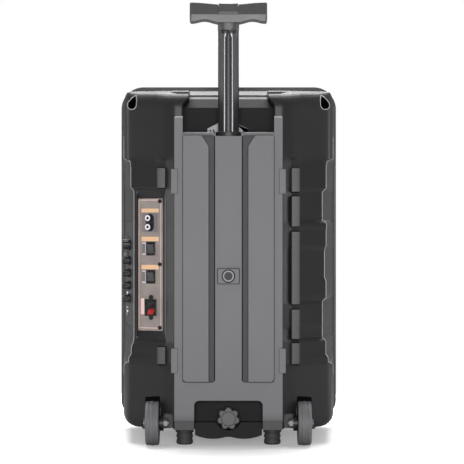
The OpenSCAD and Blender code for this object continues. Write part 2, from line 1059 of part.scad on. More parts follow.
// Hexagon nut and washer against the inner side of the lug
module axle_nut() {
    difference() {
        union() {
            translate([lug_in - 6.5, axle_y, axle_z])
                rotate([0, 90, 0])
                    cylinder(h = 5.3, r = 7.5, $fn = 6);
            rod_x(axle_y, axle_z, lug_in - 1.3, lug_in, 8.5);
        }
        rod_x(axle_y, axle_z, 90, 110, axle_dia / 2 + 0.02);
    }
}

module axle_bolts() {
    color(steel)
        for (s = [-1, 1])
            mirror([s < 0 ? 1 : 0, 0, 0]) {
                rod_x(axle_y, axle_z, 92.5, wheel_x + 10.8, axle_dia / 2);
                rod_x(axle_y, axle_z, wheel_x + 10.7, wheel_x + 14, 7);
                axle_nut();
            }
}

// Round foot with a wide shoulder and two ribs
module rear_feet() {
    color(black)
        for (s = [-1, 1])
            translate([s * foot_x, foot_y, 0])
                rotate_extrude()
                    polygon([
                        [0, 0], [foot_dia / 2 - 2, 0], [foot_dia / 2, 2], [foot_dia / 2, 7],
                        [foot_dia / 2 - 1, 8], [foot_dia / 2 - 1, 10], [foot_dia / 2, 11],
                        [foot_dia / 2, 15], [foot_dia / 2 - 1, 16], [foot_dia / 2 - 1, 18],
                        [foot_dia / 2 + 1, 19], [foot_dia / 2 + 1, 25], [0, 25]]);
}

module front_feet() {
    color(black)
        for (s = [-1, 1])
            mirror([s < 0 ? 1 : 0, 0, 0])
                along_y(-143, -111)
                    polygon([[120, 0], [144, 0], [157, 16], [157, rim_bottom], [112, rim_bottom], [112, 10]]);
}

// ---------- stand socket and clamp ----------

module stand_socket() {
    color(dark)
        difference() {
            union() {
                translate([0, socket_y, socket_low])
                    cylinder(h = socket_high - socket_low, r = socket_od / 2);
                rod_y(0, clamp_z, socket_y, 90 - e, 9);
            }
            translate([0, socket_y, socket_low - 1])
                cylinder(h = socket_high - socket_low - 5, r = socket_bore / 2);
            rod_y(0, clamp_z, socket_y, 200, stud_dia / 2 + 0.05);
        }
}

module clamp_stud() {
    color(steel)
        rod_y(0, clamp_z, 85.5, 128, stud_dia / 2);
}

// Star knob with seven lobes and a raised round cap
module clamp_knob() {
    color(black)
        difference() {
            union() {
                rod_y(0, clamp_z, 124, 136, clamp_dia / 2 - 4);
                for (i = [0:6])
                    translate([0, 0, clamp_z])
                        rotate([0, i * 360 / 7, 0])
                            rod_y(0, clamp_dia / 2 - 5, 125, 135, 5);
                rod_y(0, clamp_z, 135.9, 139, 9.5);
                rod_y(0, clamp_z, 121, 124.1, 8);
            }
            rod_y(0, clamp_z, 120, 128.5, stud_dia / 2 + 0.05);
        }
}

// ---------- inside ----------

// Parts of the drivers are turned about y, drawn with the radius first and depth upwards
module turned_y(z) {
    translate([0, 0, z])
        rotate([-90, 0, 0])
            rotate_extrude($fn = 96)
                children();
}

module woofer_frame() {
    color(dark)
        difference() {
            turned_y(woofer_z)
                polygon([
                    [132, baffle_y - 6], [153, baffle_y - 6], [153, baffle_y], [139, baffle_y],
                    [137, -110], [74, -52], [30, -52], [30, -55], [72, -55], [132, -111]]);
            for (i = [0:5])
                translate([0, 0, woofer_z])
                    rotate([0, 30 + i * 60, 0])
                        block([60, -104, -28], [160, -58, 28]);
        }
}

module woofer_cone() {
    color(black)
        turned_y(woofer_z)
            polygon([
                [0, -95], [20, -91], [36, -83], [40, -84], [112, -128], [116, -132], [124, -135],
                [130, -132], [132, -128], [129, -128], [124, -133], [117, -130], [113, -126],
                [40, -81], [26, -60], [26, -53], [25, -53], [25, -61], [34, -81], [19, -89], [0, -93]]);
}

module woofer_magnet() {
    color(steel)
        turned_y(woofer_z)
            polygon([[0, -52], [60, -52], [60, -49], [72, -49], [72, -21], [60, -21], [60, -16], [0, -16]]);
}

module horn() {
    color(black)
        difference() {
            union() {
                along_y(baffle_y - 5, baffle_y)
                    translate([0, horn_z])
                        square([228, 108], center = true);
                intersection() {
                    linear_extrude(600)
                        polygon([[-97, baffle_y - 1], [97, baffle_y - 1], [24, -62], [-24, -62]]);
                    along_x(-120, 120)
                        translate([0, horn_z])
                            polygon([[baffle_y - 1, -42], [baffle_y - 1, 42], [-62, 24], [-62, -24]]);
                }
            }
            intersection() {
                linear_extrude(600)
                    polygon([[-95, baffle_y - 6], [95, baffle_y - 6], [13, -61], [-13, -61]]);
                along_x(-120, 120)
                    translate([0, horn_z])
                        polygon([[baffle_y - 6, -40], [baffle_y - 6, 40], [-61, 13], [-61, -13]]);
            }
        }
}

module horn_driver() {
    color(steel)
        union() {
            rod_y(0, horn_z, -62, -54, 30);
            rod_y(0, horn_z, -54.1, -22, 42);
        }
}

module port_tubes() {
    color(black)
        for (s = [-1, 1])
            difference() {
                union() {
                    rod_y(s * port_x, port_z, baffle_y, -50, 24.9);
                    rod_y(s * port_x, port_z, baffle_y - 2, baffle_y, 28);
                }
                rod_y(s * port_x, port_z, -200, 0, 22.5);
            }
}

module battery() {
    color(dark)
        block([-138, -12, shell_bottom + wall], [-58, 62, 128]);
}

// Amplifier board with its finned heat sink, on the cabinet's floor beside the battery
module amplifier() {
    color([0.1, 0.32, 0.18])
        union() {
            block([36, 0, shell_bottom + wall], [86, 3, 150]);
            block([40, 2.9, shell_bottom + wall + 10], [82, 8, 140]);
            for (i = [0:6])
                block([41 + i * 6.4, 7.9, shell_bottom + wall + 10], [43 + i * 6.4, 30, 140]);
        }
}

cabinet_base();
rear_cabinet();
cabinet_top();
front_baffle();
front_grille();
cabinet_screws();
trolley_panel();
left_cover_panel();
right_cover_panel();
panel_clips();
pole_sleeve();
pole_collar();
pole_stop_plate();
inner_pole();
handle_front_shell();
handle_rear_shell();
handle_screws();
neck_pin();
handle_button();
release_rod();
lock_pin();
connector_plate();
connector_screws();
line_jacks();
switch_frames();
power_rocker();
lower_rocker();
terminal_body();
black_lever();
red_lever();
side_plate();
potentiometers();
knob_1();
knob_2();
knob_3();
knob_4();
knob_5();
mic_jacks();
media_module();
media_button_1();
media_button_2();
media_button_3();
left_tyre();
left_hub();
right_tyre();
right_hub();
axle_bolts();
rear_feet();
front_feet();
stand_socket();
clamp_stud();
clamp_knob();
woofer_frame();
woofer_cone();
woofer_magnet();
horn();
horn_driver();
port_tubes();
battery();
amplifier();
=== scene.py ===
"""Portable trolley loudspeaker with a telescopic T-handle, stood on a white studio floor.

Lengths are millimetres and MM turns them into metres, except that the camera, the lamps and the
floor are in metres.
+Z is up, the grille faces -Y, the trolley handle is at +Y and the controls are on the +X side.
"""
import json
import math

import bmesh
import bpy
import numpy as np
from mathutils import Matrix, Vector
from mathutils.bvhtree import BVHTree


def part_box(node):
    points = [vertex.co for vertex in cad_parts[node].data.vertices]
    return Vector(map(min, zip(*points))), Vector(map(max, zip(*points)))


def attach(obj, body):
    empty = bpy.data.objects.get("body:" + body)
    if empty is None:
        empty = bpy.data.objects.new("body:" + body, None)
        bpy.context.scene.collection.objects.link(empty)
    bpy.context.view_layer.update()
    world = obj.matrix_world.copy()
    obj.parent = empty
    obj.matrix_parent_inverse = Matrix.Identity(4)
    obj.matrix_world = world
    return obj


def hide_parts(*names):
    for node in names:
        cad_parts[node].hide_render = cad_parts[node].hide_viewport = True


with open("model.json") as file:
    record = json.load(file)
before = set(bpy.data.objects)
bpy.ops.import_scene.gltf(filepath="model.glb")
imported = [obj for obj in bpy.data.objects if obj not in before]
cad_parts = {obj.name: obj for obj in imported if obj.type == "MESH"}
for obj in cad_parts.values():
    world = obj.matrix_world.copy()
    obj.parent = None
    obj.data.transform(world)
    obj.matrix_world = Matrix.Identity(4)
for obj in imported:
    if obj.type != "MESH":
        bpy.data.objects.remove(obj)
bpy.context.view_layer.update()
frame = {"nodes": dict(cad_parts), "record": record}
nodes = frame["nodes"]
body_of = {n: body for body, names in frame["record"]["behaviour"]["bodies"].items() for n in names}
slot_of = {part["node"]: part["material_slot"] for part in frame["record"]["subparts"]}
MM = 0.001

# ---------- camera ----------
# A long lens on a tripod behind the loudspeaker, level, a little above half its height.
camera_data = bpy.data.cameras.new("camera")
camera_data.lens = 134
camera_data.sensor_width = 36
camera = bpy.data.objects.new("camera", camera_data)
camera.location = (-0.0055, 2.8, 0.332)
camera.rotation_euler = (math.radians(90), 0, math.radians(180))
bpy.context.scene.collection.objects.link(camera)
bpy.context.scene.camera = camera

# ---------- studio ----------
# A flat white floor, a broad soft box behind the camera, a large lamp overhead for the roof and the
# top edges, a fill light on the grille side and an upright strip light on each side.
scene = bpy.context.scene
scene.view_settings.view_transform = "Standard"


class Shade:
    """One socket of a node tree: arithmetic on it adds Math nodes, make() adds any other node."""

    def __init__(self, tree, socket=None):
        self.tree = tree
        self.socket = socket

    def make(self, kind, settings=None, inputs=None, out=0):
        """Adds a node: its settings first, then its inputs by name or number, and wraps one output."""
        made = self.tree.nodes.new(kind)
        for name, value in (settings or {}).items():
            setattr(made, name, value)
        for name, value in (inputs or {}).items():
            if isinstance(value, Shade):
                self.tree.links.new(value.socket, made.inputs[name])
            else:
                made.inputs[name].default_value = value
        return Shade(self.tree, made.outputs[out])

    def maths(self, operation, *values):
        return self.make("ShaderNodeMath", {"operation": operation}, dict(enumerate(values)))

    def __add__(self, other):
        return self.maths("ADD", self, other)

    def __sub__(self, other):
        return self.maths("SUBTRACT", self, other)

    def __rsub__(self, other):
        return self.maths("SUBTRACT", other, self)

    def __mul__(self, other):
        return self.maths("MULTIPLY", self, other)

    def __lt__(self, other):
        return self.maths("LESS_THAN", self, other)

    def __gt__(self, other):
        return self.maths("GREATER_THAN", self, other)

    def blend(self, first, second):
        """Mixes two colours, this socket being the share of the second."""
        inputs = {"Factor": self, 6: first, 7: second}
        return self.make("ShaderNodeMix", {"data_type": "RGBA"}, inputs, out=2)


def tree_of(owner):
    """Empty node tree of a material or world, and its output node"""
    owner.use_nodes = True
    owner.node_tree.nodes.clear()
    kind = "ShaderNodeOutputWorld" if isinstance(owner, bpy.types.World) else "ShaderNodeOutputMaterial"
    return Shade(owner.node_tree), owner.node_tree.nodes.new(kind)


# The backdrop is white to the camera and through clear parts, and a weak light on everything else
world = bpy.data.worlds.new("studio")
scene.world = world
ray, world_output = tree_of(world)
seen = ray.make("ShaderNodeLightPath", out="Is Camera Ray")
through = ray.make("ShaderNodeLightPath", out="Is Transmission Ray")
AMBIENT = 0.36
bright = ray.maths("MAXIMUM", seen, through)
strength = bright * (1 - AMBIENT) + AMBIENT
light = ray.make("ShaderNodeBackground", None, {"Color": (1, 1, 1, 1), "Strength": strength})
world.node_tree.links.new(light.socket, world_output.inputs["Surface"])


def soft_box(name, place, target, size, power):
    """Rectangular area lamp aimed at a point, in metres and watts"""
    lamp = bpy.data.lights.new(name, "AREA")
    lamp.shape = "RECTANGLE"
    lamp.size, lamp.size_y = size
    lamp.energy = power
    holder = bpy.data.objects.new(name, lamp)
    holder.location = place
    holder.rotation_euler = (Vector(target) - Vector(place)).to_track_quat("-Z", "Y").to_euler()
    scene.collection.objects.link(holder)


soft_box("camera_soft_box", (0, 3.1, 0.34), (0, 0, 0.28), (1.1, 1.0), 64)
soft_box("overhead_strip", (0, -0.45, 1.85), (0, 0.1, 0.55), (1.6, 0.8), 60)
soft_box("front_fill", (0, -2.4, 1.35), (0, 0, 0.4), (1.6, 1.0), 26)
for side in (-1, 1):
    soft_box(f"side_strip_{side}", (side * 1.7, -0.05, 0.45), (0, 0, 0.35), (0.25, 1.1), 7)

floor_mesh = bpy.data.meshes.new("studio_floor")
floor_mesh.from_pydata([(-3, -0.75, 0), (3, -0.75, 0), (3, 3.4, 0), (-3, 3.4, 0)], [], [(0, 1, 2, 3)])
floor = bpy.data.objects.new("studio_floor", floor_mesh)
scene.collection.objects.link(floor)
sweep = bpy.data.materials.new("white_sweep")
paper, paper_output = tree_of(sweep)
matt = paper.make("ShaderNodeBsdfDiffuse", None, {"Color": (0.9, 0.89, 0.9, 1)})
bounce = paper.make("ShaderNodeBsdfDiffuse", None, {"Color": (0.5, 0.48, 0.5, 1)})
glow = paper.make("ShaderNodeEmission", None, {"Color": (1, 1, 1, 1), "Strength": 0.26})
lit = paper.make("ShaderNodeAddShader", None, {0: matt, 1: glow})
camera_ray = paper.make("ShaderNodeLightPath", out="Is Camera Ray")
shown = paper.make("ShaderNodeMixShader", None, {0: camera_ray, 1: bounce, 2: lit})
sweep.node_tree.links.new(shown.socket, paper_output.inputs["Surface"])
floor_mesh.materials.append(sweep)

# ---------- rear moulding ----------
# The rear half of the cabinet is one injection moulding in black plastic with a fine spark grain.
# Its slanted flanks step in shallow panels with low ledges beside the trolley panel, and the handle
# pocket, wheel wells, clamp recess and plate seats are moulded in. Two screws hold its top corners.
shell_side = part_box("rear_cabinet")[1].x / MM
shell_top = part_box("cabinet_top")[1].z / MM
join_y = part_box("rear_cabinet")[0].y / MM
back_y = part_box("trolley_panel")[1].y / MM - 12
SHELL_BOTTOM = 25
ROOF_LOW = 553
ROOF_CORNER = 33
FLOOR_CORNER = 22
ROOF_FILLET = 30
FLOOR_FILLET = 16
CONTROLS, PLAIN = 1, -1
# Each raised band: bottom, top, x of its outer corner, lift of its slanted face
BANDS = {
    CONTROLS: [(126, 138, 157, 3), (138, 155, 153, 3), (155, 162, 150, 3), (400, 445, 153.5, 3)],
    PLAIN: [
        (126, 138, 157, 3), (138, 164, 153, 3), (184, 222, 147.5, 3), (226, 258, 153.5, 0),
        (258, 307, 151, 0), (307, 338, 153.5, 1.6), (338, 348, 154.5, 2.4), (398, 445, 153.5, 3)]}
FLANK_CORNER = {CONTROLS: 148.8, PLAIN: 147.5}
LEDGES = {
    CONTROLS: [(126, 154), (400, 432)],
    PLAIN: [(126, 160), (165, 212), (219, 333), (340, 388), (394, 432)]}
BLOCK_LOW, BLOCK_HIGH = 126, 445
POCKET_FLOOR, POCKET_X, POCKET_Y = 483, 70.7, 76
# Half outline of the smooth blocks above and below the relief: x, y and corner radius
BLOCK = np.array([
    (shell_side, join_y, 0), (166, 66, 8), (160, 82, 8), (150, 88.3, 2), (111, 112.2, 2),
    (110, 112.8, 2), (104, 116.5, 2), (98, 120, 2), (84, back_y, 3)])
# Half outline through the recess of the connector plate
PLATE_SEAT = np.array([
    (shell_side, join_y, 0), (148.8, 88, 2.5), (143.5, 90.4, 0.6), (141.3, 85.5, 0.3),
    (100.5, 104.5, 0.3), (102.4, 109, 0.6), (99, 109.6, 0.6), (97, 109.4, 0.6), (84, back_y, 1.5)])
SEAT_LOW, SEAT_HIGH, SEAT_SLOPE = 163, 399, 15


def finish(name, colour, roughness, grain=0.3, scale=1300.0, patch=0.12, level=0.42, metal=0.0, coat=0.0,
           stretch=(1, 1, 1)):
    """Finish with a fine relief, and faint patches or streaks in its colour and gloss"""
    material = bpy.data.materials.new(name)
    tex, output = tree_of(material)
    place = tex.make("ShaderNodeTexCoord", out="Object")
    drawn = tex.make("ShaderNodeMapping", None, {"Vector": place, "Scale": stretch})
    fine = tex.make("ShaderNodeTexNoise", None, {"Vector": drawn, "Scale": scale, "Detail": 2.0})
    flow = tex.make("ShaderNodeTexNoise", None, {"Vector": drawn, "Scale": 11.0, "Detail": 4.0})
    deep = (*[c * (1 - patch) for c in colour], 1)
    pale = (*[c * (1 + patch) for c in colour], 1)
    relief = tex.make("ShaderNodeBump", None, {"Height": fine, "Strength": grain, "Distance": 0.0003})
    shader = tex.make("ShaderNodeBsdfPrincipled", None, {
        "Base Color": flow.blend(deep, pale), "Roughness": flow * 0.08 + (roughness - 0.04),
        "Specular IOR Level": level, "Metallic": metal, "Coat Weight": coat, "Normal": relief})
    material.node_tree.links.new(shader.socket, output.inputs["Surface"])
    return material


def new_piece(name, mesh, body, slot, *replaced):
    """Links a finished mesh as a piece on its body and hides the nodes it stands for; the slot is not used"""
    piece = bpy.data.objects.new(name, mesh)
    scene.collection.objects.link(piece)
    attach(piece, body)
    if replaced:
        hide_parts(*replaced)


def smooth(mesh, angle=35):
    """Smooth shading with every edge sharper than the angle kept crisp"""
    mesh.shade_smooth()
    mesh.set_sharp_from_angle(angle=math.radians(angle))


def applied(holder):
    """Mesh of an object with its modifiers worked in; the object is removed"""
    view = bpy.context.evaluated_depsgraph_get()
    mesh = bpy.data.meshes.new_from_object(holder.evaluated_get(view), depsgraph=view)
    bpy.data.objects.remove(holder)
    return mesh


def mesh_object(name, mesh):
    holder = bpy.data.objects.new(name, mesh)
    scene.collection.objects.link(holder)
    return holder


def closed_mesh(name, verts, faces):
    """Mesh in metres from millimetre points, doubles merged and faces turned outwards"""
    mesh = bpy.data.meshes.new(name)
    mesh.from_pydata([tuple(c * MM for c in v) for v in verts], [], faces)
    work = bmesh.new()
    work.from_mesh(mesh)
    bmesh.ops.remove_doubles(work, verts=work.verts, dist=1e-6)
    bmesh.ops.recalc_face_normals(work, faces=work.faces)
    work.to_mesh(mesh)
    work.free()
    return mesh


def prism(outline, axis, start, end, turn=None):
    """Closed block: an outline in the two other axes, drawn out along one, then turned"""
    spread = {"x": lambda a, b, t: (t, a, b), "y": lambda a, b, t: (a, t, b), "z": lambda a, b, t: (a, b, t)}
    count = len(outline)
    verts = [spread[axis](a, b, t) for t in (start, end) for a, b in outline]
    faces = [tuple(range(count)), tuple(range(count, 2 * count))]
    faces += [(i, (i + 1) % count, count + (i + 1) % count, count + i) for i in range(count)]
    mesh = closed_mesh("prism", verts, faces)
    if turn:
        mesh.transform(turn)
    return mesh_object("prism", mesh)


def box_outline(a0, a1, b0, b1):
    return [(a0, b0), (a1, b0), (a1, b1), (a0, b1)]


def circle_outline(a, b, radius, steps=48):
    angles = [2 * math.pi * i / steps for i in range(steps)]
    return [(a + radius * math.cos(t), b + radius * math.sin(t)) for t in angles]


def rounded_outline(a0, a1, b0, b1, low, high, steps=8):
    """Rectangle with its own radius for the lower and the upper corners"""
    points = []
    for a, b, r, first in ((a1 - low, b0 + low, low, -90), (a1 - high, b1 - high, high, 0),
                           (a0 + high, b1 - high, high, 90), (a0 + low, b0 + low, low, 180)):
        for i in range(steps + 1):
            t = math.radians(first + 90 * i / steps)
            points.append((a + r * math.cos(t), b + r * math.sin(t)))
    return points


def combined(body, others, operation):
    """Adds or cuts closed blocks one after another and returns the plain mesh in an object"""
    for other in others:
        step = body.modifiers.new("step", "BOOLEAN")
        step.operation = operation
        step.solver = "MANIFOLD"
        step.object = other
    mesh = applied(body)
    for other in others:
        bpy.data.objects.remove(other)
    return mesh_object("combined", mesh)


def lofted(name, rings, looped=False):
    """Closed skin through rings of equally many points, in millimetres, capped or run round in a loop"""
    count, total = len(rings[0]), len(rings)
    faces = []
    for k in range(total if looped else total - 1):
        low, high = k * count, (k + 1) % total * count
        faces += [(low + i, low + (i + 1) % count, high + (i + 1) % count, high + i) for i in range(count)]
    if not looped:
        faces += [tuple(range(count)), tuple(range((total - 1) * count, total * count))]
    return closed_mesh(name, [p for ring in rings for p in ring], faces)


def flank(corner, lift):
    """Half outline of one relief level without its ledge"""
    along = [(corner + (111 - corner) * t, 88 + lift + 17 * t) for t in (0.1, 0.2)]
    return np.array([
        (shell_side, join_y, 0), (corner, 88 + lift, 3), (*along[0], 0.5), (*along[1], 0.5),
        (111, 105 + lift, 1.2), (110, 105.6 + lift, 0.8), (98, 111 + lift, 0.8), (97.5, 111 + lift, 0.6),
        (84, back_y, 1.5)])


def raw_level(z, side):
    """Half outline at a height before the steps between levels are softened"""
    if not BLOCK_LOW <= z < BLOCK_HIGH:
        return BLOCK
    corner, lift = next(((b[2], b[3]) for b in BANDS[side] if b[0] <= z < b[1]), (FLANK_CORNER[side], 0))
    shape = flank(corner, lift)
    if side == PLAIN:
        return shape
    share = np.clip(min(z - SEAT_LOW, SEAT_HIGH - z) / SEAT_SLOPE, 0, 1)
    return shape * (1 - share) + PLATE_SEAT * share


def ledge_share(z, side):
    """How much of the ledge stands at a height, with softened ends"""
    inside = [any(a <= z + d < b for a, b in LEDGES[side]) for d in np.linspace(-0.8, 0.8, 5)]
    return sum(inside) / len(inside)


def half_outline(z, side):
    """Control points of one half at a height: side wall, relief, ledge, then the handle pocket"""
    points = sum(raw_level(z + d, side) for d in np.linspace(-2.6, 2.6, 9)) / 9
    points = points.copy()
    if BLOCK_LOW <= z < BLOCK_HIGH:
        share = ledge_share(z, side)
        points[5:7, 1] += (116 - points[5:7, 1]) * share
        points[5, 0] += (111 - points[5, 0]) * share
        points[6, 0] += (98 - points[6, 0]) * share
    roof = shell_top - ROOF_CORNER
    width = shell_side
    depth = back_y
    if z > roof:
        width -= ROOF_CORNER - math.sqrt(max(0, ROOF_CORNER ** 2 - (z - roof) ** 2))
    if z < SHELL_BOTTOM + FLOOR_CORNER:
        width -= FLOOR_CORNER - math.sqrt(max(0, FLOOR_CORNER ** 2 - (SHELL_BOTTOM + FLOOR_CORNER - z) ** 2))
    if z > ROOF_LOW:
        edge = back_y - ROOF_FILLET
        depth = edge - (z - ROOF_LOW) / (shell_top - ROOF_LOW) * (edge - join_y) + 0.5
    elif z > ROOF_LOW - ROOF_FILLET:
        depth -= ROOF_FILLET - math.sqrt(ROOF_FILLET ** 2 - (z - ROOF_LOW + ROOF_FILLET) ** 2)
    if z < SHELL_BOTTOM + FLOOR_FILLET:
        depth -= FLOOR_FILLET - math.sqrt(max(0, FLOOR_FILLET ** 2 - (SHELL_BOTTOM + FLOOR_FILLET - z) ** 2))
    wide = points[:, 0] > 100
    points[wide, 0] = 100 + (points[wide, 0] - 100) * (width - 100) / (shell_side - 100)
    start = max(join_y, min(60, depth - 30))
    deep = points[:, 1] > start
    points[deep, 1] = start + (points[deep, 1] - start) * (depth - start) / (back_y - start)
    pocket_x = np.interp(z, [530, 540], [POCKET_X, 61.7])
    pocket_y = np.interp(z, [528, 543, 546.6, 546.7, 550.2, 557], [POCKET_Y, 62, 53, 44, 44, 31])
    pocket_y = min(pocket_y, depth - 0.2)
    inner = (pocket_x, pocket_y, 0.8) if z > POCKET_FLOOR else (pocket_x - 3, depth, 0.8)
    return np.vstack([points, (pocket_x, depth, 2.5), inner])


def softened(points):
    """Outline with each corner turned into a short curve; always the same number of points"""
    out = [tuple(points[0][:2])]
    for before, here, after in zip(points[:-2], points[1:-1], points[2:]):
        p, a, b = here[:2], before[:2] - here[:2], after[:2] - here[:2]
        reach_a, reach_b = np.linalg.norm(a), np.linalg.norm(b)
        r = min(here[2], 0.45 * reach_a, 0.45 * reach_b)
        start, end = p + a / reach_a * r, p + b / reach_b * r
        for t in (0, 0.25, 0.5, 0.75, 1):
            out.append(tuple(start * (1 - t) ** 2 + 2 * p * t * (1 - t) + end * t ** 2))
    out.append(tuple(points[-1][:2]))
    return out


# Heights of the sections: on both sides of every step, and closer together along the curves
edges = {b[i] for side in BANDS.values() for b in side for i in (0, 1)} | {BLOCK_LOW, BLOCK_HIGH}
levels = {e + d for e in edges for d in (-2.6, -1.6, -0.6, 0.6, 1.6, 2.6)}
levels |= {e + d for side in LEDGES.values() for pair in side for e in pair for d in (-0.81, -0.3, 0.3, 0.81)}
levels |= {SEAT_LOW, SEAT_LOW + SEAT_SLOPE, SEAT_HIGH - SEAT_SLOPE, SEAT_HIGH}
levels |= {POCKET_FLOOR - 0.05, POCKET_FLOOR + 0.05, 528, 530, 540, 543, 546.55, 546.7, 550.2}
levels |= {ROOF_LOW - ROOF_FILLET * (1 - math.sin(math.radians(t))) for t in range(0, 91, 9)}
levels |= {ROOF_LOW + d * (shell_top - ROOF_LOW) / 14 for d in range(15)}
levels |= {shell_top - ROOF_CORNER * (1 - math.sin(math.radians(t))) for t in range(0, 82, 9)}
levels |= {SHELL_BOTTOM + FLOOR_FILLET * (1 - math.sin(math.radians(t))) for t in range(0, 91, 15)}
levels |= {SHELL_BOTTOM + FLOOR_CORNER * (1 - math.sin(math.radians(t))) for t in range(0, 82, 13)}
levels |= {z for z in range(60, 480, 12)}
heights = []
for z in sorted(levels):
    if not heights or z - heights[-1] > 0.09:
        heights.append(z)
rings = []
for z in heights:
    right = softened(half_outline(z, CONTROLS))
    left = [(-x, y) for x, y in softened(half_outline(z, PLAIN))]
    rings.append([(x, y, z) for x, y in right + left[::-1]])
shell = mesh_object("shell", lofted("shell", rings))

AXLE_Y, AXLE_Z = 115.5, 35
WELL_START, WELL_END, WELL_RADIUS = 106.5, 130, 41.5
CLAMP_Z, SOCKET_Y = 44, 66
SCREW_X, SCREW_Z, SCREW_LEAN = 151.7, 531.7, 22
# The underside with its two-lobed edge, and the lugs that carry the axle bolts
lobes = [(x, 81 - math.sqrt(70 ** 2 - (abs(x) - 24) ** 2)) for x in np.linspace(-52, 52, 53)]
extras = [prism(lobes + [(52, 36.5), (-52, 36.5)], "y", 30, 120)]
for s in (-1, 1):
    x0, x1 = sorted((s * 101, s * 107))
    extras.append(prism(circle_outline(AXLE_Y, AXLE_Z, 12), "x", x0, x1))
    extras.append(prism(box_outline(96, AXLE_Y, AXLE_Z - 10, AXLE_Z + 24), "x", x0, x1))
shell = combined(shell, extras, "UNION")

side_angle, plate_angle = math.radians(8.23), math.radians(-25)
PLATE_X, PLATE_Y, PLATE_Z = 121.7, 96.8, 281
on_side = Matrix.Translation(Vector((162.26, -5, 265)) * MM) @ Matrix.Rotation(side_angle, 4, "Z")
plate_at = Vector((PLATE_X, PLATE_Y, PLATE_Z)) * MM
on_plate = Matrix.Translation(plate_at) @ Matrix.Rotation(plate_angle, 4, "Z")
# Cut in this order: the hollow in three lengths, the pole sleeve's channel, the clamp recess and its
# mouth, the clamp knob's seat, the stand socket and the stud's hole, a bevel and a groove at the
# handle pocket's upper edge, the connector plate's seat, the side plate's seat and its opening
cuts = [
    prism([(-170, -101), (170, -101), (139, 78), (94, 88), (-94, 88), (-139, 78)], "z", 84, 476),
    prism([(-168, -101), (168, -101), (146, 62), (-146, 62)], "z", 29, 84.01),
    prism([(-160, -101), (160, -101), (146, 50), (-146, 50)], "z", 475.99, 541),
    prism(box_outline(-22.2, 22.2, 94, 131), "z", 83, POCKET_FLOOR + 1),
    prism(rounded_outline(-53, 53, 36.5, 72, 0.5, 8), "y", 100, 200),
    prism(box_outline(-53, 53, -1, 37.5), "y", 120, 200),
    prism(circle_outline(0, CLAMP_Z, 20), "y", 100, 121.5),
    prism(circle_outline(0, SOCKET_Y, 22.15), "z", -1, 120),
    prism(circle_outline(0, CLAMP_Z, 9.3), "y", 80, 101),
    prism([(-92, 550.4), (-80, 546.6), (80, 546.6), (92, 550.4)], "y", 97, 200),
    prism([(34, 546.7), (46, 546.7), (46, 550.2), (34, 550.2)], "x", -63, 63),
    prism(box_outline(-13, 17, -94, 94), "y", -30, 0.5, on_plate),
    prism(box_outline(-65.5, 65.5, -84.5, 84.5), "x", -2.2, 20, on_side),
    prism(box_outline(-59, 59, -78, 78), "x", -20, 0, on_side)]
# On each side: the wheel well, open below and behind, the room round the nut and the screw's pocket
for s in (-1, 1):
    x0, x1 = sorted((s * WELL_START, s * WELL_END))
    cuts.append(prism(circle_outline(AXLE_Y, AXLE_Z, WELL_RADIUS, 64), "x", x0, x1))
    cuts.append(prism(box_outline(AXLE_Y - WELL_RADIUS, 200, -1, AXLE_Z), "x", x0, x1))
    x0, x1 = sorted((s * 86, s * 101))
    cuts.append(prism(box_outline(98, 200, -1, 50), "x", x0, x1))
    drop = circle_outline(0, 0, 6.8, 32)
    upper = [(a, b) for a, b in drop if b < 3.3]
    outline = sorted(upper, key=lambda p: math.atan2(p[0], -p[1])) + [(0, 15)]
    lean = Matrix.Rotation(math.radians(-s * SCREW_LEAN), 4, "Y")
    turn = Matrix.Translation(Vector((s * SCREW_X, 0, SCREW_Z)) * MM) @ lean
    cuts.append(prism(outline, "y", -62, 200, turn))
shell = combined(shell, cuts, "DIFFERENCE")
shell_mesh = applied(shell)
shell_mesh.materials.clear()
smooth(shell_mesh, 30)
shell_mesh.materials.append(finish("grained_black_plastic", (0.011, 0.011, 0.012), 0.42))
# Painted shade: the pocket's wall and the clamp recess get a rougher black with less gloss, which stands for
# the shade inside them
shell_mesh.materials.append(finish("shade_painted_black_plastic", (0.013, 0.013, 0.014), 0.65, 0.5, level=0.2))
for face in shell_mesh.polygons:
    x, y, z = face.center / MM
    in_recess_shade = POCKET_FLOOR < z < 543.5 and y < 124 or z < 72.5 and y < 121 and face.normal.y > 0.5
    if abs(x) < 71 and in_recess_shade:
        face.material_index = 1
new_piece("rear_moulding", shell_mesh, "cabinet", "cabinet_plastic",
          "cabinet_base", "rear_cabinet", "cabinet_top")


def bead(path, radius, closed, steps=6):
    """Round bead along a path in millimetres"""
    before = path[-1:] + path[:-1] if closed else path[:1] + path[:-1]
    after = path[1:] + path[:1] if closed else path[1:] + path[-1:]
    rings = []
    for back, here, ahead in zip(before, path, after):
        along = (Vector(ahead) - Vector(back)).normalized()
        side = along.cross(Vector((0, 1, 0))).normalized()
        up = side.cross(along)
        turn = [2 * math.pi * k / steps for k in range(steps)]
        rings.append([tuple(Vector(here) + side * radius * math.cos(t) + up * radius * math.sin(t))
                      for t in turn])
    return lofted("bead", rings, looped=closed)
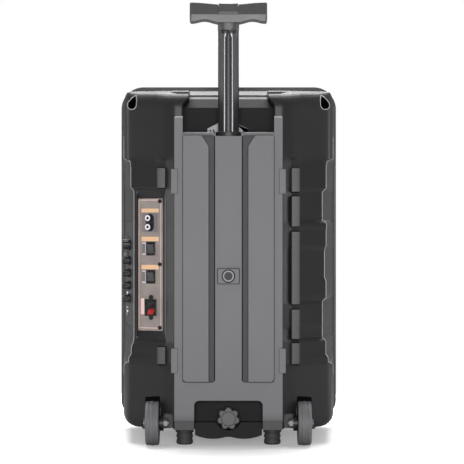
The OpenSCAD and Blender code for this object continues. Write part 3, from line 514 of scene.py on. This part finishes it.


# Painted highlight: thin pale beads along the moulding's sharp outer corners and round the rims of its screw
# pockets stand for the light these edges catch
edge_highlight = finish("painted_highlight_plastic", (0.34, 0.34, 0.35), 0.36, 0.2)
skin_points = [v.co for v in shell_mesh.vertices]
skin_tree = BVHTree.FromPolygons(skin_points, [f.vertices for f in shell_mesh.polygons])
for side in (CONTROLS, PLAIN):
    drop = [(7.4 * math.cos(math.radians(a)), 7.4 * math.sin(math.radians(a))) for a in range(-205, 26, 11)]
    drop += [(4.6, 9.8), (0.8, 15.6), (-0.8, 15.6), (-4.6, 9.8)]
    lean = math.radians(side * SCREW_LEAN)
    rim = []
    for a, b in drop:
        x = side * SCREW_X + a * math.cos(lean) - b * math.sin(lean)
        z = SCREW_Z + a * math.sin(lean) + b * math.cos(lean)
        hit = skin_tree.ray_cast(Vector((x, 200, z)) * MM, Vector((0, -1, 0)))[0]
        if hit and hit.y > 0.02:
            rim.append((x, hit.y / MM + 0.1, z))
    edge = []
    for z in [z for z in heights if 100 < z < 520]:
        x, y = softened(half_outline(z, side))[3]
        edge.append((side * x, y, z))
    for name, path, radius, closed in (("pocket_rim", rim, 0.8, True), ("rubbed_corner", edge, 0.6, False)):
        mesh = bead(path, radius, closed)
        smooth(mesh, 60)
        mesh.materials.append(edge_highlight)
        new_piece(f"{name}_{side + 2}", mesh, "cabinet", "cabinet_plastic")

# ---------- moulded and pressed fittings ----------
# Plain parts keep the frame's own shapes with their edges broken: the front frame, the trolley
# panel with its covers and clips, plates, switch frames, feet, and what is hidden inside.


def settled(mesh, angle=35):
    """Rounded edges blended into flat faces that stay flat, as a plain mesh"""
    smooth(mesh, angle)
    holder = mesh_object("settled", mesh)
    even = holder.modifiers.new("even", "WEIGHTED_NORMAL")
    even.keep_sharp = True
    even.weight = 90
    return applied(holder)


def rounded_off(mesh, radius, steps=2, angle=28):
    """Mesh with doubles merged, flat faces joined and its sharper edges rounded"""
    mesh.materials.clear()
    work = bmesh.new()
    work.from_mesh(mesh)
    bmesh.ops.remove_doubles(work, verts=work.verts, dist=2e-6)
    bmesh.ops.dissolve_limit(work, angle_limit=math.radians(0.5), verts=work.verts, edges=work.edges)
    work.to_mesh(mesh)
    work.free()
    holder = mesh_object("rounded", mesh)
    if radius:
        edge = holder.modifiers.new("edges", "BEVEL")
        edge.width = radius * MM
        edge.segments = steps
        edge.limit_method = "ANGLE"
        edge.angle_limit = math.radians(angle)
    return settled(applied(holder))


def dressed(node, radius, material):
    """The node's own shape with broken edges and a finish, as a piece in its place"""
    mesh = rounded_off(nodes[node].data.copy(), radius)
    mesh.materials.append(material)
    new_piece(node + "_part", mesh, body_of[node], slot_of[node], node)


rim_black = finish("rim_black_plastic", (0.011, 0.011, 0.012), 0.4)
panel_grey = finish("panel_grey_plastic", (0.125, 0.125, 0.132), 0.5, patch=0.03)
pole_black = finish("black_anodised_aluminium", (0.035, 0.035, 0.038), 0.38, 0.15, 900.0, metal=0.3,
                    stretch=(1, 1, 0.02))
bare_metal = finish("bright_steel", (0.5, 0.5, 0.51), 0.34, 0.1, 900.0, metal=1.0)
worn_metal = finish("worn_steel", (0.2, 0.2, 0.205), 0.5, 0.3, 900.0, metal=0.6)
black_metal = finish("blacked_steel", (0.03, 0.03, 0.032), 0.42, 0.2, 900.0, metal=0.6)
mill_metal = finish("mill_aluminium", (0.42, 0.43, 0.44), 0.42, 0.2, 700.0, metal=1.0, stretch=(1, 1, 0.03))
gloss_black = finish("gloss_black_plastic", (0.012, 0.012, 0.013), 0.28, 0.05, coat=0.3)
rocker_black = finish("rocker_plastic", (0.06, 0.062, 0.065), 0.35, 0.05)
signal_red = finish("red_plastic", (0.5, 0.02, 0.02), 0.35, 0.1)
key_grey = finish("grey_rubber_keys", (0.16, 0.16, 0.17), 0.55)
side_black = finish("side_plate_plastic", (0.014, 0.014, 0.016), 0.4)
hub_black = finish("hub_plastic", (0.02, 0.02, 0.021), 0.45)
foot_black = finish("foot_rubber", (0.05, 0.049, 0.052), 0.62, 0.4, 700.0)
socket_black = finish("socket_plastic", (0.014, 0.014, 0.015), 0.45)
driver_black = finish("driver_paint", (0.02, 0.02, 0.021), 0.38, 0.2, 600.0)
cone_black = finish("cone_paper", (0.025, 0.025, 0.026), 0.75, 0.6, 420.0, 0.2, level=0.2)
battery_grey = finish("battery_case", (0.045, 0.05, 0.06), 0.42)
board_green = finish("board_and_heat_sink", (0.03, 0.09, 0.05), 0.4, 0.3, 260.0, 0.3)
jack_grey = finish("jack_plate", (0.2, 0.18, 0.2), 0.45, 0.3, 500.0, 0.25)

for material, radius, names in (
        (rim_black, 2.2, ["front_baffle"]),
        (rim_black, 0.6, ["horn", "port_tubes"]),
        (panel_grey, 0.7, ["trolley_panel", "left_cover_panel", "right_cover_panel", "panel_clips"]),
        (worn_metal, 0.25, ["pole_stop_plate", "axle_bolts"]),
        (bare_metal, 0.25, ["handle_screws", "release_rod", "lock_pin", "clamp_stud",
                            "mic_jacks", "potentiometers"]),
        (black_metal, 0.3, ["cabinet_screws", "connector_screws", "neck_pin"]),
        (mill_metal, 0, ["pole_sleeve"]),
        (gloss_black, 0.5, ["switch_frames", "terminal_body", "black_lever"]),
        (rocker_black, 0.5, ["power_rocker", "lower_rocker"]),
        (signal_red, 0.5, ["red_lever"]),
        (side_black, 0.4, ["side_plate", "media_module"]),
        (key_grey, 0.4, ["media_button_1", "media_button_2", "media_button_3"]),
        (hub_black, 0.6, ["left_hub", "right_hub"]),
        (foot_black, 0.5, ["rear_feet", "front_feet"]),
        (socket_black, 0.4, ["stand_socket", "pole_collar"]),
        (driver_black, 0.5, ["woofer_frame", "woofer_magnet", "horn_driver"]),
        (cone_black, 0, ["woofer_cone"]),
        (battery_grey, 1.5, ["battery"]),
        (board_green, 0.4, ["amplifier"]),
        (jack_grey, 0.3, ["line_jacks"])):
    for node in names:
        dressed(node, radius, material)

# The floors of the trolley panel's bays are darker than its raised parts
bay_grey = finish("bay_floor_plastic", (0.07, 0.068, 0.075), 0.6, level=0.3)
panel_mesh = bpy.data.objects["trolley_panel_part"].data
panel_mesh.materials.append(bay_grey)
for face in panel_mesh.polygons:
    x, y, z = face.center / MM
    if 20 < abs(x) < 72 and 129 < y < 132 and face.normal.y > 0.8:
        face.material_index = 1

# Raised plate round the panel screw and a pale ring against the head. Painted shade: a dark sheet under the
# plate's edge and a dark ring round the pale one stand for the shade in the gaps
screw_mesh = bpy.data.objects["cabinet_screws_part"].data
screw_mesh.materials.append(finish("panel_screw_steel", (0.05, 0.05, 0.055), 0.6, 0.2, 600.0, metal=0.3))
for face in screw_mesh.polygons:
    if face.center.y > 130 * MM and face.normal.y > 0.5:
        face.material_index = 1
pale_grey = finish("pale_grey_plastic", (0.24, 0.24, 0.245), 0.45)
gap_shade_black = finish("painted_gap_shade_plastic", (0.006, 0.006, 0.007), 0.7, level=0.2)
seam = rounded_outline(-17.5, 17.5, 251.5, 276.5, 3, 3)
plate = rounded_outline(-16.5, 16.5, 252.5, 275.5, 2.4, 2.4)
for name, outline, hole, height, material in (
        ("panel_screw_seam", seam, 10.4, 138.25, gap_shade_black),
        ("panel_screw_plate", plate, 10.4, 138.9, panel_grey),
        ("panel_screw_ring", circle_outline(0, 264, 10.4), 8.7, 138.5, gap_shade_black),
        ("panel_screw_washer", circle_outline(0, 264, 8.7), 6.5, 139.1, pale_grey)):
    solid = prism(outline, "y", 137.6, height)
    solid = combined(solid, [prism(circle_outline(0, 264, hole), "y", 137, 141)], "DIFFERENCE")
    solid_mesh = rounded_off(applied(solid), 0.2)
    solid_mesh.materials.append(material)
    new_piece(name, solid_mesh, "cabinet", "panel_plastic")

# Dark plates over the lower ends of the panel's legs, above the rubber feet, make the legs darker at the
# bottom
for side in (-1, 1):
    x0, x1 = sorted((side * 53, side * 83.4))
    dark_end = rounded_off(applied(prism(rounded_outline(x0, x1, 26.6, 40.5, 1.5, 1.5, 5), "y", 134, 138.4)), 0.3)
    dark_end.materials.append(hub_black)
    new_piece(f"foot_cap_{side + 2}", dark_end, "cabinet", "panel_plastic")

# Sill of the handle pocket, above the covers on both sides of the pole sleeve
for side in (-1, 1):
    x0, x1 = sorted((side * 24, side * 70))
    sill = rounded_off(applied(prism(rounded_outline(118, 139, 481.2, 486, 1.5, 2.2, 5), "x", x0, x1)), 0)
    sill.materials.append(panel_grey)
    new_piece(f"pocket_sill_{side + 2}", sill, "cabinet", "panel_plastic")

# ---------- pole ----------
# The inner pole is drawn aluminium, black anodised, with flutes down its front and back. The flutes
# end in points below the plain top. Painted highlight: the edges of the lands between them are paler,
# standing for the light they catch.
POLE_Y, NECK_Z, FLUTE_END, FLUTE_TOP = 117, 645, 632.5, 641.5
pole_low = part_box("inner_pole")[0].z / MM
# Half section: where the round sides begin, their radius, the last flute's edge and the flutes' depth
half_flat, half_deep, flute_edge, flute_deep = 3.7, 12.5, 16, 1.9


def land(z):
    """Inner and outer edge of a land at a height; it widens into a V at the top"""
    share = np.clip((z - FLUTE_END) / (FLUTE_TOP - FLUTE_END), 0, 1)
    return 5.5 - 4.6 * share, 8.2 + 2.6 * share


def pole_ring(z):
    """Outline of the pole at a height, with its flutes"""
    inner, outer = land(z)
    stations = [0, inner * 0.35, inner * 0.7, inner, inner + (outer - inner) * 0.5, outer]
    stations += [outer + (flute_edge - outer) * t for t in (0.2, 0.4, 0.6, 0.8, 1)]
    quarter = []
    for x in stations:
        side = max(0, x - half_flat)
        y = math.sqrt(max(0, half_deep ** 2 - side ** 2))
        fade = np.clip((NECK_Z - z) / (NECK_Z - FLUTE_END), 0, 1) ** 0.5
        if x < inner:
            y -= flute_deep * fade * (1 - (x / inner) ** 2)
        elif x > outer:
            y -= flute_deep * fade * (1 - (2 * (x - outer) / (flute_edge - outer) - 1) ** 2)
        quarter.append((x, y))
    quarter.append((half_flat + half_deep, 0))
    half = quarter + [(x, -y) for x, y in quarter[-2::-1]]
    return [(x, POLE_Y + y, z) for x, y in half + [(-x, y) for x, y in half[-2:0:-1]]]


pole_levels = [pole_low] + list(np.arange(260, 630, 24)) + list(np.arange(630, NECK_Z + 0.1, 1))
outer_pole = mesh_object("pole", lofted("pole", [pole_ring(z) for z in pole_levels]))
bore_outline = rounded_outline(-11, 11, POLE_Y - 6.5, POLE_Y + 6.5, 6.4, 6.4)
hollows = [prism(bore_outline, "z", pole_low + 20, NECK_Z + 5),
           prism(circle_outline(0, POLE_Y, 3), "z", pole_low + 15, pole_low + 21)]
pole_mesh = rounded_off(applied(combined(outer_pole, hollows, "DIFFERENCE")), 0)
smooth(pole_mesh, 50)
pole_mesh.materials.append(pole_black)
pole_mesh.materials.append(finish("painted_highlight_aluminium", (0.17, 0.17, 0.175), 0.34, 0.1, 700.0, metal=0.8))
# Painted highlight: faces along the lands' edges take the paler metal
for face in pole_mesh.polygons:
    x, y, z = face.center / MM
    inner, outer = land(z)
    band = min(1.9 if z > FLUTE_END else 1.5, (outer - inner) / 2)
    on_edge = inner < abs(x) < inner + band or outer - band < abs(x) < outer
    if abs(y - POLE_Y) > 9 and z < FLUTE_TOP and on_edge:
        face.material_index = 1
new_piece("inner_pole_tube", pole_mesh, "handle", "pole_finish", "inner_pole")

# ---------- T-handle ----------
# Two moulded shells screwed together from the front over the pole's end, with a ridge along both
# faces, hollows for the fingers under each grip and a push button set into the middle of the top.
BAR_Z, BAR_HALF, RIDGE = 655, 60, 13.6
# Heights above BAR_Z and half widths: the button's slot and the core in it, the button and its skirts
SLOT_HALF, SLOT_FLOOR, CORE_HALF, CORE_TOP = 15.4, 14.1, 8, 26.6
KEY_HALF, SKIRT_LOW, HOLLOW_HALF, HOLLOW_TOP = 14.9, 18.4, 8.3, 29.4
handle_black = finish("handle_plastic", (0.075, 0.075, 0.077), 0.34, 0.35, 900.0)


def bar_ring(x):
    """Section across the bar at a distance from its middle, drawn in at the ends"""
    reach = BAR_HALF - abs(x)
    inset = 2.4 - math.sqrt(max(0, 2.4 ** 2 - (2.4 - reach) ** 2)) if reach < 2.4 else 0
    dip = 3.5 * math.cos(math.radians(90 * min(1, abs(x) / 58))) ** 2
    along = min(1, max(0, (abs(x) - 15) / 43))
    hollow = 3.8 * math.sin(math.radians(180 * along)) ** 2 + 1.3 * along
    high = BAR_Z + 32.6 - dip - inset
    low = BAR_Z + 0.6 + hollow + inset
    half = np.array([
        (0, low, 0), (15.6 - inset, low, 1), (16 - inset, BAR_Z + RIDGE, 0.9),
        (11.4 - inset, high, 1.8), (0, high, 0)])
    curve = softened(half)
    return [(x, POLE_Y + y, z) for y, z in curve] + [(x, POLE_Y - y, z) for y, z in curve[-2:0:-1]]


ends = [BAR_HALF - r for r in (0, 0.2, 0.7, 1.5, 2.4)]
bar_stations = sorted([-x for x in ends] + ends + list(np.arange(-56, 57, 2)))
bar = lofted("bar", [bar_ring(x) for x in bar_stations])
# The neck is a round outline drawn apart into the pole's shape
neck = prism(circle_outline(0, 0, 1, 56), "z", NECK_Z, BAR_Z + 8)
for vert in neck.data.vertices:
    x, y = vert.co.x / MM, vert.co.y / MM
    vert.co.x = (x * 13 + math.copysign(3.7, x) * min(1, abs(x) * 6)) * MM
    vert.co.y = (POLE_Y + y * 13) * MM
# The button's slot leaves a core between its two skirts, and room under both for its travel
slot_outline = box_outline(-SLOT_HALF, SLOT_HALF, BAR_Z + SLOT_FLOOR, 720)
core_outline = box_outline(-SLOT_HALF, SLOT_HALF, BAR_Z + CORE_TOP, 720)
spigot = rounded_outline(-13, 13, POLE_Y - 9, POLE_Y + 9, 8.9, 8.9)
grip = combined(mesh_object("grip", bar.copy()), [neck], "UNION")
grip = combined(grip, [
    prism(slot_outline, "y", POLE_Y + CORE_HALF, 200),
    prism(slot_outline, "y", 0, POLE_Y - CORE_HALF),
    prism(core_outline, "y", 0, 200),
    prism(spigot, "z", NECK_Z - 1, NECK_Z + 24)], "DIFFERENCE")
grip_mesh = applied(grip)
grip_mesh.materials.clear()
grip_mesh.materials.append(handle_black)
new_piece("handle_moulding", settled(grip_mesh, 40), "handle", "handle_plastic",
          "handle_front_shell", "handle_rear_shell")
hollow_outline = box_outline(-15, 15, 600, BAR_Z + HOLLOW_TOP)
key = combined(mesh_object("key", bar), [
    prism(box_outline(-70, -KEY_HALF, 600, 720), "y", 0, 200),
    prism(box_outline(KEY_HALF, 70, 600, 720), "y", 0, 200),
    prism(box_outline(-70, 70, 600, BAR_Z + SKIRT_LOW), "y", 0, 200),
    prism(hollow_outline, "y", POLE_Y - HOLLOW_HALF, POLE_Y + HOLLOW_HALF)], "DIFFERENCE")
key_mesh = applied(key)
# The button stands a little above the bar
for vert in key_mesh.vertices:
    if vert.co.z > (BAR_Z + 25) * MM:
        vert.co.z += 1.6 * MM
key_mesh = rounded_off(key_mesh, 0.8)
key_mesh.materials.append(handle_black)
new_piece("handle_button_cap", key_mesh, "handle_button", "handle_plastic", "handle_button")

# ---------- wheels ----------
# Solid grey-black rubber tyres with a raised centre rib, a groove on each side of it and fine wear
# round the tread.
tyre_rubber = finish("tyre_rubber", (0.13, 0.13, 0.135), 0.5, 0.7, 60.0, 0.45, stretch=(60, 2, 2))
WHEEL_X, TYRE_STEPS = 118, 96
# Half section of the tread: radius and distance from the middle
TREAD = [(24.2, -8), (28.6, -10.5), (31.2, -10.5), (32.4, -10.3), (33.5, -9.2), (33.9, -8),
         (33.9, -5.4), (33.3, -5.1), (33.3, -4.5), (33.9, -4.2), (33.9, -1.8), (34.4, -1.4)]
TREAD += [(r, -x) for r, x in TREAD[::-1]]
for name, x0 in (("left", WHEEL_X), ("right", -WHEEL_X)):
    rings = [[(x0 + x, AXLE_Y + r * math.cos(t), AXLE_Z + r * math.sin(t)) for r, x in TREAD]
             for t in [2 * math.pi * k / TYRE_STEPS for k in range(TYRE_STEPS)]]
    tyre = lofted(name + "_tyre", rings, looped=True)
    smooth(tyre, 40)
    tyre.materials.append(tyre_rubber)
    new_piece(name + "_tyre_ring", tyre, name + "_wheel", "tyre", name + "_tyre")

# ---------- clamp knob ----------
# Star knob with seven lobes and a round cap, moulded round the stud that clamps a stand pole.
knob_plastic = finish("clamp_knob_plastic", (0.06, 0.06, 0.063), 0.42)
LOBES, STAR_STEPS = 7, 168
# Distance of the lobes' centres, their radius, and the radius of the valleys between them
LOBE_AT, LOBE_RADIUS, VALLEY = 13, 5, 14.4
star_turns = [2 * math.pi * k / STAR_STEPS for k in range(STAR_STEPS)]
star = []
for y, inset in ((124, 1.2), (124.6, 0.4), (125.8, 0), (133.6, 0), (135, 0.5), (136, 1.8)):
    ring = []
    for t in star_turns:
        off = (t - math.pi / 2 + math.pi / LOBES) % (2 * math.pi / LOBES) - math.pi / LOBES
        chord = math.sqrt(max(0, LOBE_RADIUS ** 2 - (LOBE_AT * math.sin(off)) ** 2))
        r = max(VALLEY, LOBE_AT * math.cos(off) + chord) - inset
        ring.append((r * math.cos(t), y, CLAMP_Z + r * math.sin(t)))
    star.append(ring)
for y, radius in ((136, 11.4), (134.4, 11)):
    star.append([(radius * math.cos(t), y, CLAMP_Z + radius * math.sin(t)) for t in star_turns])
star_mesh = lofted("star", star)
caps = [prism(circle_outline(0, CLAMP_Z, 9.8), "y", 134, 139),
        prism(circle_outline(0, CLAMP_Z, 8), "y", 121, 124.3)]
bore = [prism(circle_outline(0, CLAMP_Z, 4.1, 24), "y", 120, 128.5)]
star_body = combined(combined(mesh_object("star", star_mesh), caps, "UNION"), bore, "DIFFERENCE")
star_mesh = rounded_off(applied(star_body), 0.4, 2, 40)
star_mesh.materials.append(knob_plastic)
new_piece("clamp_star_knob", star_mesh, "clamp_knob", "clamp_plastic", "clamp_knob")

# ---------- control knobs ----------
# Five small knobs on the side plate: a skirt, a ribbed grip and a white pointer line. Each has a
# height above the plate's middle and a diameter.
control_black = finish("knob_plastic", (0.013, 0.013, 0.014), 0.34, 0.1)
pointer_white = finish("pointer_white", (0.75, 0.75, 0.74), 0.4, 0.1)
KNOB_Y, KNOB_STEPS = 20, 72
KNOB_SIZES = [(47, 20), (21, 15), (1, 15), (-19, 15), (-40, 15)]
for number, (height, dia) in enumerate(KNOB_SIZES, 1):
    rings = []
    skirt = dia / 2
    for out, radius, rib in (
            (-9.6, 3, 0), (0.4, 3, 0), (0.4, skirt, 0), (2.6, skirt, 0), (3, skirt - 0.4, 0),
            (3, skirt - 1.4, 0.35), (11, skirt - 1.7, 0.35), (11.7, skirt - 2.4, 0)):
        turn = [2 * math.pi * k / KNOB_STEPS for k in range(KNOB_STEPS)]
        ribbed = [radius - rib * (k % 4 < 2) for k in range(KNOB_STEPS)]
        rings.append([(out, KNOB_Y + r * math.cos(t), height + r * math.sin(t))
                      for r, t in zip(ribbed, turn)])
    knob = lofted("knob", rings)
    knob = combined(mesh_object("knob", knob), [
        prism(box_outline(KNOB_Y - 0.7, KNOB_Y + 0.7, height + 1, height + skirt - 2), "x", 11, 12)], "UNION")
    knob_mesh = applied(knob)
    knob_mesh.materials.clear()
    knob_mesh.materials.append(control_black)
    knob_mesh.materials.append(pointer_white)
    for face in knob_mesh.polygons:
        if face.center.x > 11.72 * MM:
            face.material_index = 1
    knob_mesh.transform(on_side)
    smooth(knob_mesh, 35)
    new_piece(f"control_knob_{number}", knob_mesh, f"knob_{number}", "knob_plastic", f"knob_{number}")

# ---------- connector plate ----------
# Painted steel plate: printed bands over the sockets and switches, a pale border line, small label
# fields beside the switches and an empty pale label by the terminal. The phono sockets have white
# rings in a black surround.
plate_paint = bpy.data.materials.new("plate_paint")
tex, output = tree_of(plate_paint)
place = tex.make("ShaderNodeTexCoord", out="Object")
split = {axis: tex.make("ShaderNodeSeparateXYZ", None, {"Vector": place}, out=axis) for axis in "XYZ"}
cos25, sin25 = math.cos(-plate_angle), math.sin(-plate_angle)
across = (split["X"] - PLATE_X * MM) * cos25 + (split["Y"] - PLATE_Y * MM) * -sin25
upward = split["Z"] - PLATE_Z * MM


def field(x0, x1, z0, z1):
    """One inside a rectangle of the plate, zero outside"""
    return (across > x0 * MM) * (across < x1 * MM) * (upward > z0 * MM) * (upward < z1 * MM)


mottle = tex.make("ShaderNodeTexNoise", None, {"Vector": place, "Scale": 55.0, "Detail": 5.0})
colour = mottle.blend((0.21, 0.17, 0.18, 1), (0.34, 0.31, 0.26, 1))
border = field(-18.2, 21.4, -99.8, 101.6) * (1 - field(-17.2, 20.2, -98.6, 100.4))
colour = border.blend(colour, (0.72, 0.5, 0.45, 1))
for low, high in ((81.5, 87.6), (36.6, 43.6), (-7.4, -0.5)):
    colour = field(-14, 16.5, low, high).blend(colour, (0.78, 0.5, 0.3, 1))
for low in (25, -19):
    colour = field(8.8, 15.4, low - 9.6, low + 9.6).blend(colour, (0.6, 0.56, 0.6, 1))
    colour = field(9.6, 15.4, low - 7.6, low + 7.6).blend(colour, (0.17, 0.17, 0.18, 1))
colour = field(11.5, 17.5, -78, -53).blend(colour, (0.82, 0.6, 0.58, 1))
fine = tex.make("ShaderNodeTexNoise", None, {"Vector": place, "Scale": 900.0, "Detail": 2.0})
relief = tex.make("ShaderNodeBump", None, {"Height": fine, "Strength": 0.2, "Distance": 0.0002})
shader = tex.make("ShaderNodeBsdfPrincipled", None, {
    "Base Color": colour, "Roughness": mottle * 0.1 + 0.38, "Specular IOR Level": 0.4, "Normal": relief})
plate_paint.node_tree.links.new(shader.socket, output.inputs["Surface"])
dressed("connector_plate", 0.3, plate_paint)

ring_white = finish("white_insulator", (0.8, 0.8, 0.8), 0.4, 0.1)
PHONO_X, PHONO_HEIGHTS = 0.8, (72.8, 58.8)


def washers(disc, hole):
    """A disc with a hole at each phono socket, each given as radius, two depths and corners"""
    made = []
    for z in PHONO_HEIGHTS:
        blank, bore = [prism(circle_outline(PHONO_X, z, radius, steps), "y", low, high, on_plate)
                       for radius, low, high, steps in (disc, hole)]
        made.append(combined(blank, [bore], "DIFFERENCE"))
    return made


first, second = washers((4.6, 1.15, 9.2, 40), (2.2, 0, 12, 24))
rings_mesh = rounded_off(applied(combined(first, [second], "UNION")), 0.3, 2, 40)
rings_mesh.materials.append(ring_white)
rings_mesh.materials.append(socket_black)
for face in rings_mesh.polygons:
    if face.normal.x * sin25 + face.normal.y * cos25 < 0.6:
        face.material_index = 1
new_piece("phono_insulators", rings_mesh, "cabinet", "bright_steel")
surround = prism(rounded_outline(-6.2, 7.8, 52, 79.6, 6.9, 6.9), "y", 1.1, 1.9, on_plate)
holes = [prism(circle_outline(PHONO_X, z, 4.55, 40), "y", 1, 3, on_plate) for z in PHONO_HEIGHTS]
surround = combined(surround, holes, "DIFFERENCE")
surround = combined(surround, washers((3.35, 5.1, 5.8, 32), (1.4, 5, 6, 16)), "UNION")
surround_mesh = rounded_off(applied(surround), 0.15, 1, 40)
surround_mesh.materials.append(socket_black)
new_piece("phono_surround", surround_mesh, "cabinet", "bright_steel")

# ---------- grille ----------
# Steel sheet folded back at its edges and powder-coated black, punched with six-sided holes on a
# close pattern inside a plain border. It sits inside the front rim of the cabinet.
grille_low, grille_high = [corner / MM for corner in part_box("front_grille")]
front_y = grille_low.y
grille_black = finish("powder_coated_steel", (0.014, 0.014, 0.015), 0.45, 0.5, 800.0)
# Distance between holes, their radius, the plain border and the corner radius of the pattern
PITCH, HOLE, BORDER, BEND = 7.0, 2.5, 9, 18
# Sheet thickness, depth of the holes' walls, how far the pattern runs under the border, and how
# far it lies behind the border's face
SHEET, WALL, OVERLAP, SUNK = 1.5, 1.2, 1.5, 0.3


def repeated(name, cell, places, material):
    """One mesh of a cell set on every place by a node group, realised and merged"""
    group = bpy.data.node_groups.new(name, "GeometryNodeTree")
    ask = group.interface.new_socket
    ask("Places", in_out="INPUT", socket_type="NodeSocketGeometry")
    cell_key = ask("Cell", in_out="INPUT", socket_type="NodeSocketObject").identifier
    finish_key = ask("Finish", in_out="INPUT", socket_type="NodeSocketMaterial").identifier
    ask("Sheet", in_out="OUTPUT", socket_type="NodeSocketGeometry")
    start = group.nodes.new("NodeGroupInput")
    info = group.nodes.new("GeometryNodeObjectInfo")
    spread = group.nodes.new("GeometryNodeInstanceOnPoints")
    real = group.nodes.new("GeometryNodeRealizeInstances")
    paint = group.nodes.new("GeometryNodeSetMaterial")
    end = group.nodes.new("NodeGroupOutput")
    group.links.new(start.outputs["Cell"], info.inputs["Object"])
    group.links.new(start.outputs["Places"], spread.inputs["Points"])
    group.links.new(info.outputs["Geometry"], spread.inputs["Instance"])
    group.links.new(spread.outputs["Instances"], real.inputs["Geometry"])
    group.links.new(real.outputs["Geometry"], paint.inputs["Geometry"])
    group.links.new(start.outputs["Finish"], paint.inputs["Material"])
    group.links.new(paint.outputs["Geometry"], end.inputs["Sheet"])
    points = bpy.data.meshes.new(name)
    points.from_pydata([tuple(c * MM for c in p) for p in places], [], [])
    holder = mesh_object(name, points)
    pattern = mesh_object("cell", cell)
    repeat = holder.modifiers.new("repeat", "NODES")
    repeat.node_group = group
    repeat[cell_key] = pattern
    repeat[finish_key] = material
    mesh = applied(holder)
    bpy.data.objects.remove(pattern)
    work = bmesh.new()
    work.from_mesh(mesh)
    bmesh.ops.remove_doubles(work, verts=work.verts, dist=1e-5)
    work.to_mesh(mesh)
    work.free()
    return mesh


def grille_outline(inset):
    """Outline of the sheet, moved inwards"""
    return rounded_outline(grille_low.x + inset, grille_high.x - inset, grille_low.z + inset,
                           grille_high.z - inset, 13.5 - inset / 2, 23.5 - inset / 2, 10)


tray = combined(prism(grille_outline(0), "y", front_y, grille_high.y), [
    prism(grille_outline(SHEET), "y", front_y + SHEET, grille_high.y + 5),
    prism(grille_outline(BORDER), "y", front_y - 5, front_y + 5)], "DIFFERENCE")
frame_mesh = rounded_off(applied(tray), 0.5)
frame_mesh.materials.append(grille_black)
new_piece("grille_frame", frame_mesh, "cabinet", "grille_steel", "front_grille")
corner_turns = [math.radians(60 * k + 30) for k in range(6)]
corners = [(math.cos(t), math.sin(t)) for t in corner_turns]
reach = PITCH / math.sqrt(3)
cell_points = [(a * reach * MM, 0, b * reach * MM) for a, b in corners]
cell_points += [(a * HOLE * MM, 0, b * HOLE * MM) for a, b in corners]
cell_points += [(a * HOLE * MM, WALL * MM, b * HOLE * MM) for a, b in corners]
cell_faces = [(i, (i + 1) % 6, 6 + (i + 1) % 6, 6 + i) for i in range(6)]
cell_faces += [(6 + i, 6 + (i + 1) % 6, 12 + (i + 1) % 6, 12 + i) for i in range(6)]
cell = bpy.data.meshes.new("cell")
cell.from_pydata(cell_points, [], cell_faces)
middle_z = (grille_low.z + grille_high.z) / 2
half_x = grille_high.x - BORDER + OVERLAP
half_z = (grille_high.z - grille_low.z) / 2 - BORDER + OVERLAP
places = []
for row in range(-45, 46):
    for column in range(-26, 27):
        x, z = (column + row % 2 / 2) * PITCH, row * PITCH * math.sqrt(3) / 2
        over_x, over_z = max(0, abs(x) - half_x + BEND), max(0, abs(z) - half_z + BEND)
        if math.hypot(over_x, over_z) < BEND:
            places.append((x, front_y + SUNK, middle_z + z))
punched = repeated("hexagon_sheet", cell, places, grille_black)
new_piece("grille_mesh", punched, "cabinet", "grille_steel")
